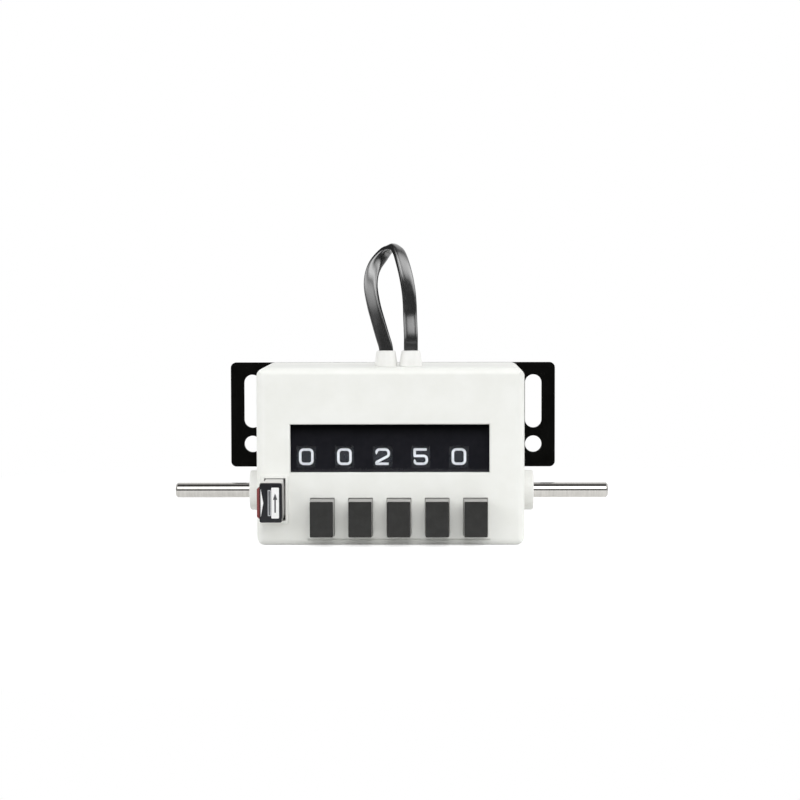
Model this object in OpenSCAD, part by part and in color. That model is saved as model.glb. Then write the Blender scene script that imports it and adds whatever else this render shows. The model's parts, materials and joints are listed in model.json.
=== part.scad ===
// Preset stroke counter: a five-figure mechanical counter with a through drive shaft,
// a row of preset keys, a reset key, a back mounting plate and a short loop of flat cable.
// Frame: +X to the right seen from the front, +Y towards the back, +Z up.
// The origin is on the base plane, at mid width, straight below the drive shaft.

/* [Housing] */
// Width of the housing
housing_w = 70; // [69:0.5:80]
// Height of the housing
housing_h = 46.4; // [46:0.2:56]
// Depth of the housing from its front face to its back edge
housing_d = 40; // [39:0.5:50]
// Thickness of the housing walls
wall = 2; // [1.6:0.1:2.2]
// Radius of the edges round the front face
edge_r = 1.8; // [0.8:0.1:2.4]
// Radius of the corners seen from the front
corner_r = 2.4; // [1:0.1:4]
// Thickness of the rear cover
panel_t = 2; // [1.6:0.1:3]
// Gap between the rear cover and the housing walls
panel_gap = 0.15; // [0.05:0.05:0.3]

/* [Mounting plate] */
// Width of the mounting plate
plate_w = 90; // [88:0.5:110]
// Height of the mounting plate
plate_h = 29; // [27:0.5:34]
// Thickness of the mounting plate
plate_t = 1.5; // [1:0.1:3]
// Radius of the plate's corners
plate_corner_r = 1.5; // [0.5:0.1:3]
// Distance between the left and the right fixing holes
hole_spacing = 78; // [77:0.5:90]
// Diameter of the round fixing holes and width of the slots
hole_d = 4.6; // [3:0.1:5]
// Height of the round holes' centres above the plate's lower edge
hole_rise = 6.3; // [5:0.1:7]
// Height of the slots' centres above the plate's lower edge
slot_rise = 18.2; // [18:0.1:20]
// Length of the slots from end to end
slot_len = 14.8; // [10:0.1:15.5]

/* [Window and figures] */
// Distance of the window from the housing's left side
window_left = 8.85; // [8:0.05:9.5]
// Distance of the window from the housing's right side
window_right = 9.15; // [8:0.05:10]
// Height of the window
window_h = 12.6; // [11:0.1:13]
// Height of the window's centre
window_z = 25.35; // [24.5:0.05:27]
// Width of the bevelled lip round the window
window_lip = 0.2; // [0.2:0.1:0.8]
// Width of the lens flange behind the front wall
lens_flange = 1; // [0.6:0.1:1.2]
// Thickness of the lens flange
lens_flange_t = 0.8; // [0.5:0.1:1]
// How far the lens face lies behind the front face
lens_inset = 0.5; // [0.2:0.1:1]
// Thickness of the figure mask
mask_t = 0.5; // [0.3:0.1:0.8]
// Width of a mask aperture
aperture_w = 5; // [4.2:0.1:5.6]
// Height of a mask aperture
aperture_h = 5.8; // [5:0.1:6.4]
// Distance of the first figure from the window's left edge
figure_left = 4.05; // [3.6:0.05:5]
// Distance of the last figure from the window's right edge
figure_right = 7.95; // [7:0.05:9]
// Height of the figures and of the wheel axle
figure_z = 23; // [22.6:0.1:24]

/* [Figure wheels] */
// Radius of the figure wheels
wheel_r = 9; // [8.8:0.05:9.3]
// Gap between the mask and the wheels
wheel_front_gap = 0.4; // [0.3:0.05:0.8]
// Width of the carry disc on a wheel's left
carry_w = 1.4; // [1:0.1:1.6]
// Width of the gear on a wheel's right
gear_w = 1.2; // [1:0.1:1.4]
// Width of the ratchet on a wheel's right end
ratchet_w = 1.4; // [1.2:0.1:1.6]
// Gap between neighbouring wheels
wheel_gap = 0.4; // [0.2:0.05:0.6]
// Radius of the ratchet teeth and carry teeth
ratchet_r = 7; // [6.4:0.1:7.2]
// Depth of the ratchet teeth
ratchet_depth = 1.1; // [0.6:0.1:1.4]
// Radius of the wheel axle
axle_r = 1.5; // [1.2:0.05:1.8]
// Module of the wheel gears and transfer pinions
gear_module = 0.8; // [0.78:0.01:0.8]
// Direction from the wheel axle to the pinion axle, above level
pinion_rise = 20; // [15:1:25]
// Radius of the pinion axle
pinion_axle_r = 1; // [0.8:0.05:1.2]
// Radial gap between a turning piece and its axle
run_gap = 0.05; // [0.02:0.01:0.1]

/* [Drive shaft] */
// Diameter of the drive shaft
shaft_d = 4; // [3:0.1:4.2]
// Length of the drive shaft
shaft_len = 116; // [100:1:140]
// Depth of the shaft behind the front face
shaft_depth = 19; // [18.5:0.1:21]
// Height of the shaft above the base
shaft_z = 12.8; // [12:0.1:13]
// Diameter of the bushes' outer flanges
bush_d = 10.7; // [9:0.1:12]
// How far the bush flanges stand out
bush_out = 3; // [1:0.1:5]
// Diameter of the bushes in the housing walls
bush_neck_d = 6.8; // [6:0.1:7.2]
// Width of the drive gear
drive_w = 1.6; // [1.2:0.1:1.8]
// Teeth on the drive gear and on the units wheel's drive ring
drive_teeth = 20; // [18:1:24]
// Angle that the shaft turns through for one stroke
stroke_angle = 50; // [40:1:55]

/* [Preset keys] */
// Width of a preset key
key_w = 6; // [5:0.1:6.4]
// Height of a preset key
key_h = 9.2; // [8.4:0.1:9.6]
// Height of the keys' centres
key_z = 7.35; // [7:0.05:7.4]
// How far the keys stand out of the front face
key_out = 6; // [5:0.1:8]
// How far a key is pushed in
key_travel = 4; // [2:0.1:4]
// Place of each key to the right of its figure
key_offset = 4.3; // [4:0.1:4.6]
// Gap between a key and its slot at the sides
key_gap = 0.2; // [0.1:0.05:0.4]
// Gap between a key's top and its slot
key_top_gap = 0.5; // [0.2:0.05:0.8]
// Radius of a key's corners
key_corner_r = 0.7; // [0.3:0.1:1]
// Radius of a key's guide stem
stem_r = 1.2; // [1:0.05:1.4]
// Length of a key spring when it is pushed solid, with some room to spare
key_spring_solid = 3; // [2.8:0.1:3.2]

/* [Reset key] */
// Width of the reset key
reset_w = 5.75; // [5:0.05:5.8]
// Height of the reset key
reset_h = 10.2; // [9:0.1:10.6]
// Height of the reset key's centre
reset_z = 11.9; // [11.6:0.1:12.2]
// Distance of the reset key's right edge from the housing's left side
reset_right = 7.1; // [7:0.1:7.8]
// How far the reset key stands out of the front face
reset_out = 8; // [6:0.1:9]
// How far the reset key is pushed in
reset_travel = 3; // [2:0.1:3]
// Width of the raised rim round the reset key's opening
reset_rim = 0.8; // [0.5:0.1:1.2]
// Height of that rim above the front face
reset_rim_h = 0.4; // [0.2:0.1:0.8]

/* [Cable] */
// Width of the flat cable
cable_w = 3.7; // [3:0.1:3.8]
// Thickness of the flat cable
cable_t = 1.8; // [1.4:0.1:2]
// Height of the cable glands above the housing
gland_h = 4.2; // [3:0.1:6]
// Diameter of a gland at its base
gland_base_d = 6; // [5.8:0.1:6.4]
// Diameter of a gland at its top
gland_top_d = 5; // [4.8:0.1:5.4]

/* [Hidden] */
$fn = 48;
front_y = -shaft_depth;
back_y = front_y + housing_d;
half_w = housing_w / 2;
inner_x = half_w - wall;
inner_front_y = front_y + wall;
inner_top_z = housing_h - wall;
panel_y = back_y - panel_t;
plate_back_y = back_y + plate_t;
plate_z = housing_h - plate_h;
cut = 1;
join = 0.2;
seat_gap = 0.02;

// The five figure wheels, left to right, and the figures that they show at rest
shown = [0, 0, 2, 5, 0];
last = len(shown) - 1;
window_w = housing_w - window_left - window_right;
window_x = (window_left - window_right) / 2;
figure_pitch = (window_w - figure_left - figure_right) / last;
band_w = figure_pitch - wheel_gap - carry_w - gear_w - ratchet_w;
figure_xs = [for (i = [0 : last]) -half_w + window_left + figure_left + i * figure_pitch];
key_xs = [for (x = figure_xs) x + key_offset];
digit_step = 36;
ratchet_slant = 5;
lens_back_y = inner_front_y + lens_flange_t;
mask_back_y = lens_back_y + mask_t;
wheel_y = mask_back_y + wheel_front_gap + wheel_r;
hub_wall = 1.1;
hub_r = axle_r + hub_wall;
carry_tooth_h = 0.8;
carry_disc_r = ratchet_r - carry_tooth_h;
carry_rim = 0.8;
carry_tooth_w = 0.8;
web_t = 1.6;

// Gears
pressure = 20;
tooth_play = 0.3;
addendum = 0.7;
dedendum = 1.1;
wheel_teeth = 20;
pinion_teeth = 8;
wheel_gear_r = gear_module * wheel_teeth / 2;
pinion_r = gear_module * pinion_teeth / 2;
pinion_y = wheel_y + (wheel_gear_r + pinion_r) * cos(pinion_rise);
pinion_z = figure_z + (wheel_gear_r + pinion_r) * sin(pinion_rise);
pinion_end_gap = 0.2;
drive_pitch_r = norm([wheel_y, figure_z - shaft_z]) / 2;
drive_dir = atan2(shaft_z - figure_z, -wheel_y);
drive_x = ratchet_x(last) + ratchet_w + wheel_gap;

// Screws
screw_r = 1;
screw_head_r = 2;
screw_head_h = 1;
screw_gap = 0.05;
boss_r = 2.8;
boss_len = 5;
boss_sunk = 0.4;
boss_inset = boss_r - boss_sunk;
boss_x = inner_x - boss_inset;
boss_low_z = wall + boss_inset;
boss_top_z = inner_top_z - boss_inset;
cover_screw_len = 5.6;
plate_screw_len = 7.1;
frame_screw_len = 4.6;

// Side frames that carry the axles, and what joins them, clear of the pushed reset key
reset_block = 2;
reset_back_y = inner_front_y + reset_block;
trip_depth = 6.6;
trip_y = panel_y - trip_depth;
trip_z = 33.1;
side_gap = 3.3;
frame_t = 1.5;
frame_out_x = inner_x - side_gap;
frame_in_x = frame_out_x - frame_t;
frame_front_gap = 0.8;
frame_front_y = reset_back_y + reset_travel + frame_front_gap;
frame_low_z = 8.2;
frame_head = 5.1;
frame_top_z = trip_z + frame_head;
frame_boss_gap = 1;
frame_back_top_z = boss_top_z - boss_r - frame_boss_gap;
frame_notch_y = panel_y - boss_len - frame_boss_gap / 2;
frame_shaft_gap = 0.3;
frame_foot_back_y = 4;
frame_flange = 8;
frame_flange_low_z = 12;
frame_flange_top_z = 34;
axle_end = 0.3;
rod_r = 1.5;
rod_depth = 4;
rod_y = panel_y - rod_depth;
rod_zs = [19, 27];
frame_screw_inset = 4.2;
frame_screw_x = frame_in_x - frame_screw_inset;
frame_screw_zs = [14.5, 31];

// Drive shaft and what sits on it
shaft_r = shaft_d / 2;
shaft_tip = 0.4;
groove_w = 0.8;
groove_depth = 0.3;
bush_x = half_w + bush_out;
bush_tail = 0.4;
sleeve_t = 1;
sleeve_r = shaft_r + sleeve_t;
sleeve_left = 2;
sleeve_end_gap = 0.9;
sleeve_len = frame_in_x - sleeve_end_gap - drive_x + sleeve_left;
stop_gap = 0.2;
stop_w = 2;
stop_hub_t = 1.6;
stop_hub_r = shaft_r + stop_hub_t;
stop_reach = 7.5;
stop_arm_w = 2;
stop_pin_r = 0.8;
stop_pin_at = 6.5;
stop_pin_gap = 0.1;
stop_margin = asin((stop_arm_w / 2 + stop_pin_r + stop_pin_gap) / stop_pin_at);
return_spring_wire = 0.4;
return_spring_gap = 0.7;
return_spring_r = shaft_r + return_spring_gap;
return_spring_turns = 2;
return_spring_side = 0.4;
return_spring_x = -frame_in_x + return_spring_side;
return_spring_len = 2.2;

// Preset keys
key_front_y = front_y - key_out;
key_shoulder = 1.5;
key_back_y = inner_front_y + key_shoulder;
key_spring_len = key_travel + key_spring_solid;
pawl_w = 1;
pawl_gap = 0.1;
pawl_drop = 6.2;
pawl_top_z = figure_z - pawl_drop;
key_low_z = key_z - key_h / 2;
key_top_z = key_z + key_h / 2;
key_rise = max(0, key_top_gap - key_gap);
guide_y = key_back_y + key_spring_len;
guide_t = 1.5;
guide_top_z = 11.4;
stem_end = 1.4;
stem_len = key_spring_len + guide_t + stem_end;
key_spring_wire = 0.45;
key_spring_gap = 0.6;
key_spring_r = stem_r + key_spring_gap;
key_spring_turns = 6;
spring_end_gap = 0.1;
ledge_z = 1.55;
ledge_w = 0.35;
ledge_depth = 0.35;
ledge_over = 0.8;

// Reset key, its lever and the reset comb
reset_x1 = -half_w + reset_right;
reset_x0 = reset_x1 - reset_w;
reset_front_y = front_y - reset_out;
reset_lip_gap = 1.6;
reset_lip_d = reset_out - reset_travel - reset_lip_gap;
reset_side_gap = 0.5;
reset_top_gap = 0.6;
reset_low_gap = 0.3;
reset_low_z = reset_z - reset_h / 2;
reset_top_z = reset_z + reset_h / 2;
reset_rise = reset_top_gap - reset_low_gap;
reset_shoulder = 1;
reset_corner_r = 0.5;
reset_wall_gap = 0.3;
reset_block_x0 = -inner_x + reset_wall_gap;
reset_stem_w = 2.2;
reset_stem_x = -(inner_x + frame_out_x) / 2;
reset_stem_low_z = 4;
reset_stem_top_z = 8.2;
reset_nose_h = 1;
reset_shaft_y = 9;
reset_shaft_z = 12;
reset_shaft_r = 1.5;
reset_arm = reset_shaft_z - reset_stem_low_z - reset_nose_h / 2;
reset_arm_w = 2;
reset_nose_gap = 0.3;
reset_nose_y = reset_shaft_y - reset_arm_w / 2 - reset_nose_gap;
reset_stem_back_y = 2;
reset_hub_r = 2.4;
comb_reach = 8.8;
comb_t = 1.2;
comb_w = 1;
comb_dir = 128;
comb_left_gap = 0.8;
comb_right_gap = 0.7;
comb_x0 = -frame_in_x + comb_left_gap;
comb_x1 = drive_x - comb_right_gap;
lug_w = 2.9;
lug_t = 1.5;
lug_y = -6;
lug_low_z = 9.2;
lug_top_z = 15;
reset_spring_wire = 0.4;
reset_spring_r = 1;
reset_spring_turns = 7;
reset_spring_z = 12.4;
label_w = 2;
label_h = 8;
label_inset = 0.7;
label_t = 0.15;
strip_w = 0.7;
strip_h = 8.4;
strip_chamfer = 0.6;
strip_t = 2;
strip_back = 0.5;

// Trip bar and switch
trip_axle_r = 1;
trip_hub_r = 1.9;
trip_t = 1;
trip_front_y = -3;
trip_side_gap = 1.8;
trip_x = frame_in_x - trip_side_gap;
feeler_w = 1;
feeler_t = 1;
feeler_gap = 0.2;
feeler_low_z = figure_z + ratchet_r + feeler_gap;
trip_back_gap = 0.4;
bridge_back_y = trip_y - trip_hub_r - trip_back_gap;
bridge_t = 1.5;
bridge_low_z = 34.9;
bridge_edge = 1;
switch_l = 20;
switch_d = 6.5;
switch_x = 2;
switch_z = 35;
switch_top_gap = 0.4;
switch_h = inner_top_z - switch_top_gap - switch_z;
switch_back_y = bridge_back_y - bridge_t;
plunger_r = 1;
plunger_y = switch_back_y - switch_d / 2;
plunger_in = 1.5;
plunger_gap = 0.15;
terminal_w = 2.4;
terminal_t = 0.5;
terminal_len = 3.5;
terminal_pitch = 8;
terminal_rise = 0.5;
switch_screw_pitch = 10;
switch_screw_up = 0.5;
switch_screw_z = switch_z + switch_h / 2 + switch_screw_up;
bridge_top_z = switch_screw_z + screw_r + bridge_edge;

// Cable and its glands
gland_xs = [-1.3, 5.3];
gland_y = -8;
gland_lip = 0.4;
gland_neck_r = gland_base_d / 2 - gland_lip;
gland_gap = 0.05;
nut_r = 3.7;
nut_t = 1.6;
// Route of the cable's middle line, left gland to right gland: X, Y, Z and the turn of its wide face
cable_route = [
    [-1.3, -8, 45, 0], [-1.3, -8, 48, 0], [-1.3, -8, 51.2, 0], [-2.2, -7.9, 54.4, -8],
    [-3.3, -7.7, 58.2, -18], [-4.5, -7.2, 62.6, -22], [-5.3, -6.3, 67.2, -16],
    [-5.1, -5.2, 70.6, -4], [-4.1, -4, 73.3, 10], [-2.2, -2.7, 75.8, 36],
    [-0.8, -2.3, 77.2, 62], [0.6, -2.7, 78.1, 92], [2, -4.1, 76.8, 130],
    [3, -5.6, 74.2, 147], [4, -6.8, 70.4, 158], [4.7, -7.2, 66.4, 168], [5, -7.2, 63, 175],
    [5.1, -7.2, 59.8, 178], [5.3, -8.1, 54.6, 180], [5.3, -8.1, 52.2, 180], [5.3, -8, 50, 180],
    [5.3, -8, 47.5, 180], [5.3, -8, 45, 180]
];
cable_sides = 8;

// Left edges of a wheel's segments
function carry_x(i) = figure_xs[i] - band_w / 2 - carry_w;
function gear_x(i) = figure_xs[i] + band_w / 2;
function ratchet_x(i) = gear_x(i) + gear_w;

// Outline drawn in Y and Z, extruded along X from x for a length
module along_x(x, length) {
    translate([x, 0, 0]) rotate([90, 0, 90]) linear_extrude(length) children();
}

// Outline drawn in X and Z, extruded along Y from y for a length
module along_y(y, length) {
    translate([0, y + length, 0]) rotate([90, 0, 0]) linear_extrude(length) children();
}

// Rectangle between two corners
module rectangle(low, high) {
    translate(low) square(high - low);
}

// Rectangle between two corners, with round corners
module rounded_rectangle(low, high, r) {
    rectangle(low + [r, 0], high - [r, 0]);
    rectangle(low + [0, r], high - [0, r]);
    for (x = [low.x + r, high.x - r], y = [low.y + r, high.y - r])
        translate([x, y]) circle(r);
}

// Upright slot with round ends
module slot_outline(x, z, width, length) {
    reach = (length - width) / 2;
    translate([x, z]) square([width, 2 * reach], center = true);
    for (side = [-1, 1]) translate([x, z + side * reach]) circle(width / 2);
}

// Ring with an outer and an inner radius
module ring(outer, inner) {
    difference() {
        circle(outer);
        circle(inner);
    }
}

// Places an outline on an axis that runs along X
module on_axis(y, z) {
    translate([y, z]) children();
}

// Gear outline with involute flanks; its first tooth points along the first axis
function polar(r, a) = r * [cos(a), sin(a)];
function involute(a) = tan(a) * 180 / PI - a;
function flank(r, pitch_r, half_tooth) =
    let (base_r = pitch_r * cos(pressure), a = r > base_r ? acos(base_r / r) : 0)
    half_tooth + involute(pressure) - involute(a);
function gear_points(teeth, pitch_r) =
    let (
        m = 2 * pitch_r / teeth,
        half_tooth = 90 / teeth - tooth_play / 2 / pitch_r * 180 / PI,
        low = pitch_r - dedendum * m,
        high = pitch_r + addendum * m,
        radii = [low, max(low, pitch_r * cos(pressure)), pitch_r, (pitch_r + high) / 2, high],
        n = len(radii) - 1
    )
    [for (t = [0 : teeth - 1], side = [-1, 1], k = [0 : n])
        let (r = radii[side < 0 ? k : n - k])
        polar(r, t * 360 / teeth + side * flank(r, pitch_r, half_tooth))];

// Closed tube of triangles through rings that all have the same number of points
module tube_through(rings) {
    sides = len(rings[0]);
    count = len(rings);
    points = [for (ring = rings) each ring];
    skin = [for (k = [0 : count - 2], s = [0 : sides - 1])
        let (a = k * sides + s, b = k * sides + (s + 1) % sides)
        each [[a, b, b + sides], [a, b + sides, a + sides]]];
    first_cap = [for (s = [1 : sides - 2]) [0, s + 1, s]];
    end = (count - 1) * sides;
    last_cap = [for (s = [1 : sides - 2]) [end, end + s, end + s + 1]];
    polyhedron(points, concat(skin, first_cap, last_cap));
}

// Coil spring that winds along its first axis from 0 to a length, and the least gap in it
module coil(radius, wire, turns, length, sides = 6, steps = 8) {
    run = length - wire;
    rings = [for (k = [0 : turns * steps])
        let (a = k * 360 / steps, at = wire / 2 + run * k / (turns * steps))
        [for (s = [0 : sides - 1])
            let (b = -s * 360 / sides, r = radius + wire / 2 * cos(b))
            [at + wire / 2 * sin(b), r * cos(a), r * sin(a)]]];
    tube_through(rings);
    gaps = [for (k = [0 : (turns - 1) * steps]) norm(rings[k + steps][0] - rings[k][0]) - wire];
    echo(least_gap_between_turns = min(gaps));
}

// Housing block with its rounded front edges
module housing_block() {
    intersection() {
        along_y(front_y, housing_d)
            rounded_rectangle([-half_w, 0], [half_w, housing_h], corner_r);
        along_x(-half_w - cut, housing_w + 2 * cut)
            rounded_rectangle([front_y, 0], [back_y + edge_r + cut, housing_h], edge_r);
        translate([0, 0, -cut]) linear_extrude(housing_h + 2 * cut)
            rounded_rectangle([-half_w, front_y], [half_w, back_y + edge_r + cut], edge_r);
    }
}

// Bevelled cut round the window, made of four slanted bars
module window_cut() {
    low = [window_x - window_w / 2, window_z - window_h / 2];
    high = [window_x + window_w / 2, window_z + window_h / 2];
    along_y(front_y - cut, wall + 2 * cut) rectangle(low, high);
    lip = window_lip * sqrt(2);
    for (z = [low.y, high.y])
        along_x(low.x - window_lip, window_w + 2 * window_lip)
            translate([front_y, z]) rotate(45) square(lip, center = true);
    for (x = [low.x, high.x])
        translate([0, 0, low.y - window_lip]) linear_extrude(window_h + 2 * window_lip)
            translate([x, front_y]) rotate(45) square(lip, center = true);
}

// Slots for the preset keys, and the fine ledge line below them
module key_slots() {
    for (x = key_xs)
        along_y(front_y - cut, wall + 2 * cut)
            rectangle(
                [x - key_w / 2 - key_gap, key_low_z - key_gap],
                [x + key_w / 2 + key_gap, key_top_z + key_top_gap]
            );
    translate([key_xs[0] - key_w / 2 - ledge_over, front_y - cut, ledge_z - ledge_w / 2])
        cube([key_xs[last] - key_xs[0] + key_w + 2 * ledge_over, ledge_depth + cut, ledge_w]);
}

// Corners of the reset key's opening in X and Z
reset_open_low = [reset_block_x0 - reset_side_gap / 2, reset_low_z - reset_low_gap];
reset_open_high = [reset_x1 + reset_side_gap, reset_top_z + reset_top_gap];

module reset_frame() {
    along_y(front_y - reset_rim_h, reset_rim_h + edge_r / 2)
        rounded_rectangle(
            [-half_w + edge_r / 2, reset_open_low.y - reset_rim],
            reset_open_high + [reset_rim, reset_rim],
            reset_rim / 2
        );
}

module front_cover() color([0.93, 0.93, 0.91]) difference() {
    union() {
        difference() {
            housing_block();
            translate([-inner_x, inner_front_y, wall])
                cube([2 * inner_x, housing_d, housing_h - 2 * wall]);
        }
        reset_frame();
        for (x = [-boss_x, boss_x], z = [boss_low_z, boss_top_z])
            along_y(panel_y - boss_len, boss_len) translate([x, z]) circle(boss_r);
    }
    window_cut();
    key_slots();
    along_y(front_y - cut - reset_rim_h, wall + reset_rim_h + 2 * cut)
        rectangle(reset_open_low, reset_open_high);
    along_x(-half_w - cut, housing_w + 2 * cut)
        on_axis(0, shaft_z) circle(bush_neck_d / 2 + seat_gap);
    for (x = gland_xs)
        translate([x, gland_y, inner_top_z - cut]) cylinder(wall + 2 * cut, r = gland_neck_r + gland_gap);
    for (x = [-boss_x, boss_x], z = [boss_low_z, boss_top_z])
        along_y(panel_y - boss_len + cut, boss_len) translate([x, z]) circle(screw_r + screw_gap);
}

// Screw along Y with a flush conical head at the back, its length counted from the head's face
module flush_screw(x, y, z, length, gap = 0) {
    translate([x, y, z]) rotate([90, 0, 0]) {
        cylinder(length, r = screw_r + gap);
        cylinder(screw_head_h, r1 = screw_head_r + gap, r2 = screw_r + gap);
    }
}

module rear_cover() color([0.8, 0.8, 0.78]) difference() {
    along_y(panel_y, panel_t)
        rectangle(
            [-inner_x + panel_gap, wall + panel_gap],
            [inner_x - panel_gap, inner_top_z - panel_gap]
        );
    for (x = [-boss_x, boss_x]) {
        flush_screw(x, back_y, boss_low_z, panel_t + cut, screw_gap);
        along_y(panel_y - cut, panel_t + 2 * cut)
            translate([x, boss_top_z]) circle(screw_r + screw_gap);
    }
    for (x = [-frame_screw_x, frame_screw_x], z = frame_screw_zs)
        flush_screw(x, back_y, z, panel_t + cut, screw_gap);
}

module mounting_plate() color([0.07, 0.07, 0.07]) difference() {
    along_y(back_y, plate_t)
        rounded_rectangle([-plate_w / 2, plate_z], [plate_w / 2, housing_h], plate_corner_r);
    for (x = [-hole_spacing / 2, hole_spacing / 2])
        along_y(back_y - cut, plate_t + 2 * cut) {
            translate([x, plate_z + hole_rise]) circle(hole_d / 2);
            slot_outline(x, plate_z + slot_rise, hole_d, slot_len);
        }
    for (x = [-boss_x, boss_x])
        flush_screw(x, plate_back_y, boss_top_z, plate_t + cut, screw_gap);
}

module cover_screws() color([0.7, 0.7, 0.72])
    for (x = [-boss_x, boss_x]) flush_screw(x, back_y, boss_low_z, cover_screw_len);

module plate_screws() color([0.7, 0.7, 0.72])
    for (x = [-boss_x, boss_x]) flush_screw(x, plate_back_y, boss_top_z, plate_screw_len);

module frame_screws() color([0.7, 0.7, 0.72])
    for (x = [-frame_screw_x, frame_screw_x], z = frame_screw_zs)
        flush_screw(x, back_y, z, frame_screw_len);

// Corners of the flange that the lens and the mask share
flange_low = [window_x - window_w / 2 - lens_flange, window_z - window_h / 2 - lens_flange];
flange_high = [window_x + window_w / 2 + lens_flange, window_z + window_h / 2 + lens_flange];

module window_lens() color([0.8, 0.85, 0.9, 0.35]) {
    inside = [lens_flange + panel_gap, lens_flange + panel_gap];
    along_y(front_y + lens_inset, wall - lens_inset + lens_flange_t)
        rectangle(flange_low + inside, flange_high - inside);
    along_y(inner_front_y, lens_flange_t) rectangle(flange_low, flange_high);
}

module window_mask() color([0.1, 0.1, 0.11]) along_y(lens_back_y, mask_t) difference() {
    rectangle(flange_low, flange_high);
    for (x = figure_xs)
        translate([x, figure_z]) square([aperture_w, aperture_h], center = true);
}

// Flanged bush for the drive shaft, on the right; the left one is its mirror image
module shaft_bush() color([0.9, 0.9, 0.88]) {
    along_x(half_w, bush_out) on_axis(0, shaft_z) ring(bush_d / 2, shaft_r + run_gap);
    along_x(inner_x - bush_tail, wall + bush_tail)
        on_axis(0, shaft_z) ring(bush_neck_d / 2, shaft_r + run_gap);
}

// Cable gland with a slot for the flat cable
module cable_gland(x) color([0.9, 0.9, 0.88]) difference() {
    translate([x, gland_y, 0]) {
        translate([0, 0, housing_h]) cylinder(gland_h, d1 = gland_base_d, d2 = gland_top_d);
        translate([0, 0, inner_top_z - nut_t]) cylinder(wall + nut_t, r = gland_neck_r);
    }
    translate([x, gland_y, housing_h])
        cube([cable_w + 2 * gland_gap, cable_t + 2 * gland_gap, 4 * gland_h], center = true);
}

module gland_nuts() color([0.75, 0.75, 0.72]) for (x = gland_xs)
    translate([x, gland_y, inner_top_z - nut_t]) linear_extrude(nut_t) difference() {
        rotate(30) circle(nut_r, $fn = 6);
        circle(gland_neck_r + gland_gap);
    }

// Flat cable: wide face to the front at the glands, turned right over on its way through the top
function unit(v) = v / norm(v);
function cable_spot(k) = [for (axis = [0 : 2]) cable_route[k][axis]];
function cable_along(k) =
    unit(cable_spot(min(k + 1, len(cable_route) - 1)) - cable_spot(max(k - 1, 0)));
function cable_ring(k) =
    let (
        along = cable_along(k),
        wide = unit(cross([0, 1, 0], along)),
        deep = cross(along, wide),
        turn = cable_route[k][3],
        u = cos(turn) * wide + sin(turn) * deep,
        v = cross(along, u)
    )
    [for (s = [0 : cable_sides - 1])
        let (
            a = 180 / cable_sides + s * 360 / cable_sides,
            p = [sign(cos(a)) * sqrt(abs(cos(a))), sign(sin(a)) * sqrt(abs(sin(a)))]
        )
        cable_spot(k) + cable_w / 2 * p.x * u + cable_t / 2 * p.y * v];

module cable_loop() color([0.06, 0.06, 0.06])
    tube_through([for (k = [len(cable_route) - 1 : -1 : 0]) cable_ring(k)]);

// Side frame on the right: a plate with a foot, a back flange and its axle holes
module side_frame() {
    difference() {
        union() {
            along_x(frame_in_x, frame_t) {
                rectangle([frame_front_y, frame_low_z], [frame_notch_y, frame_top_z]);
                rectangle([frame_front_y, frame_low_z], [panel_y, frame_back_top_z]);
                rectangle([frame_front_y, wall], [frame_foot_back_y, frame_low_z]);
            }
            translate([frame_in_x - frame_flange, panel_y - frame_t, frame_flange_low_z])
                cube([frame_flange, frame_t, frame_flange_top_z - frame_flange_low_z]);
        }
        along_x(frame_in_x - cut, frame_t + 2 * cut) {
            on_axis(0, shaft_z) circle(shaft_r + frame_shaft_gap);
            on_axis(wheel_y, figure_z) circle(axle_r + seat_gap);
            on_axis(pinion_y, pinion_z) circle(pinion_axle_r + seat_gap);
            on_axis(trip_y, trip_z) circle(trip_axle_r + seat_gap);
            on_axis(reset_shaft_y, reset_shaft_z) circle(reset_shaft_r + run_gap);
            for (z = rod_zs) on_axis(rod_y, z) circle(rod_r + seat_gap);
        }
        for (z = frame_screw_zs)
            along_y(panel_y - frame_t - cut, frame_t + 2 * cut)
                translate([frame_screw_x, z]) circle(screw_r + screw_gap);
    }
}

// Places of the two stop pins for the drive shaft's arm
function stop_pin(a) = [stop_pin_at * sin(a), shaft_z - stop_pin_at * cos(a)];
stop_angles = [-stop_margin, stroke_angle + stop_margin];

module right_side_frame() color([0.72, 0.73, 0.75]) difference() {
    side_frame();
    along_x(frame_in_x - cut, frame_t + 2 * cut)
        for (a = stop_angles) translate(stop_pin(a)) circle(stop_pin_r + seat_gap);
}

module left_side_frame() color([0.72, 0.73, 0.75]) {
    mirror([1, 0, 0]) side_frame();
    translate([-frame_out_x - lug_w, lug_y, lug_low_z]) cube([lug_w, lug_t, lug_top_z - lug_low_z]);
}

module stop_pins() color([0.6, 0.6, 0.62])
    along_x(frame_in_x, frame_t + stop_gap + stop_w)
        for (a = stop_angles) translate(stop_pin(a)) circle(stop_pin_r);

// Rod between the side frames, standing a little proud of both
module cross_rod(y, z, r) {
    along_x(-frame_out_x - axle_end, 2 * (frame_out_x + axle_end)) on_axis(y, z) circle(r);
}

module tie_rods() color([0.7, 0.7, 0.72]) for (z = rod_zs) cross_rod(rod_y, z, rod_r);

module wheel_axle() color([0.75, 0.75, 0.77]) cross_rod(wheel_y, figure_z, axle_r);

module pinion_axle() color([0.75, 0.75, 0.77]) cross_rod(pinion_y, pinion_z, pinion_axle_r);

module trip_axle() color([0.75, 0.75, 0.77]) cross_rod(trip_y, trip_z, trip_axle_r);

module key_guide() color([0.75, 0.72, 0.62]) along_y(guide_y, guide_t) difference() {
    rectangle([-frame_in_x, wall], [frame_in_x, guide_top_z]);
    for (x = key_xs) translate([x, key_z]) circle(stem_r + run_gap);
}

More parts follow.
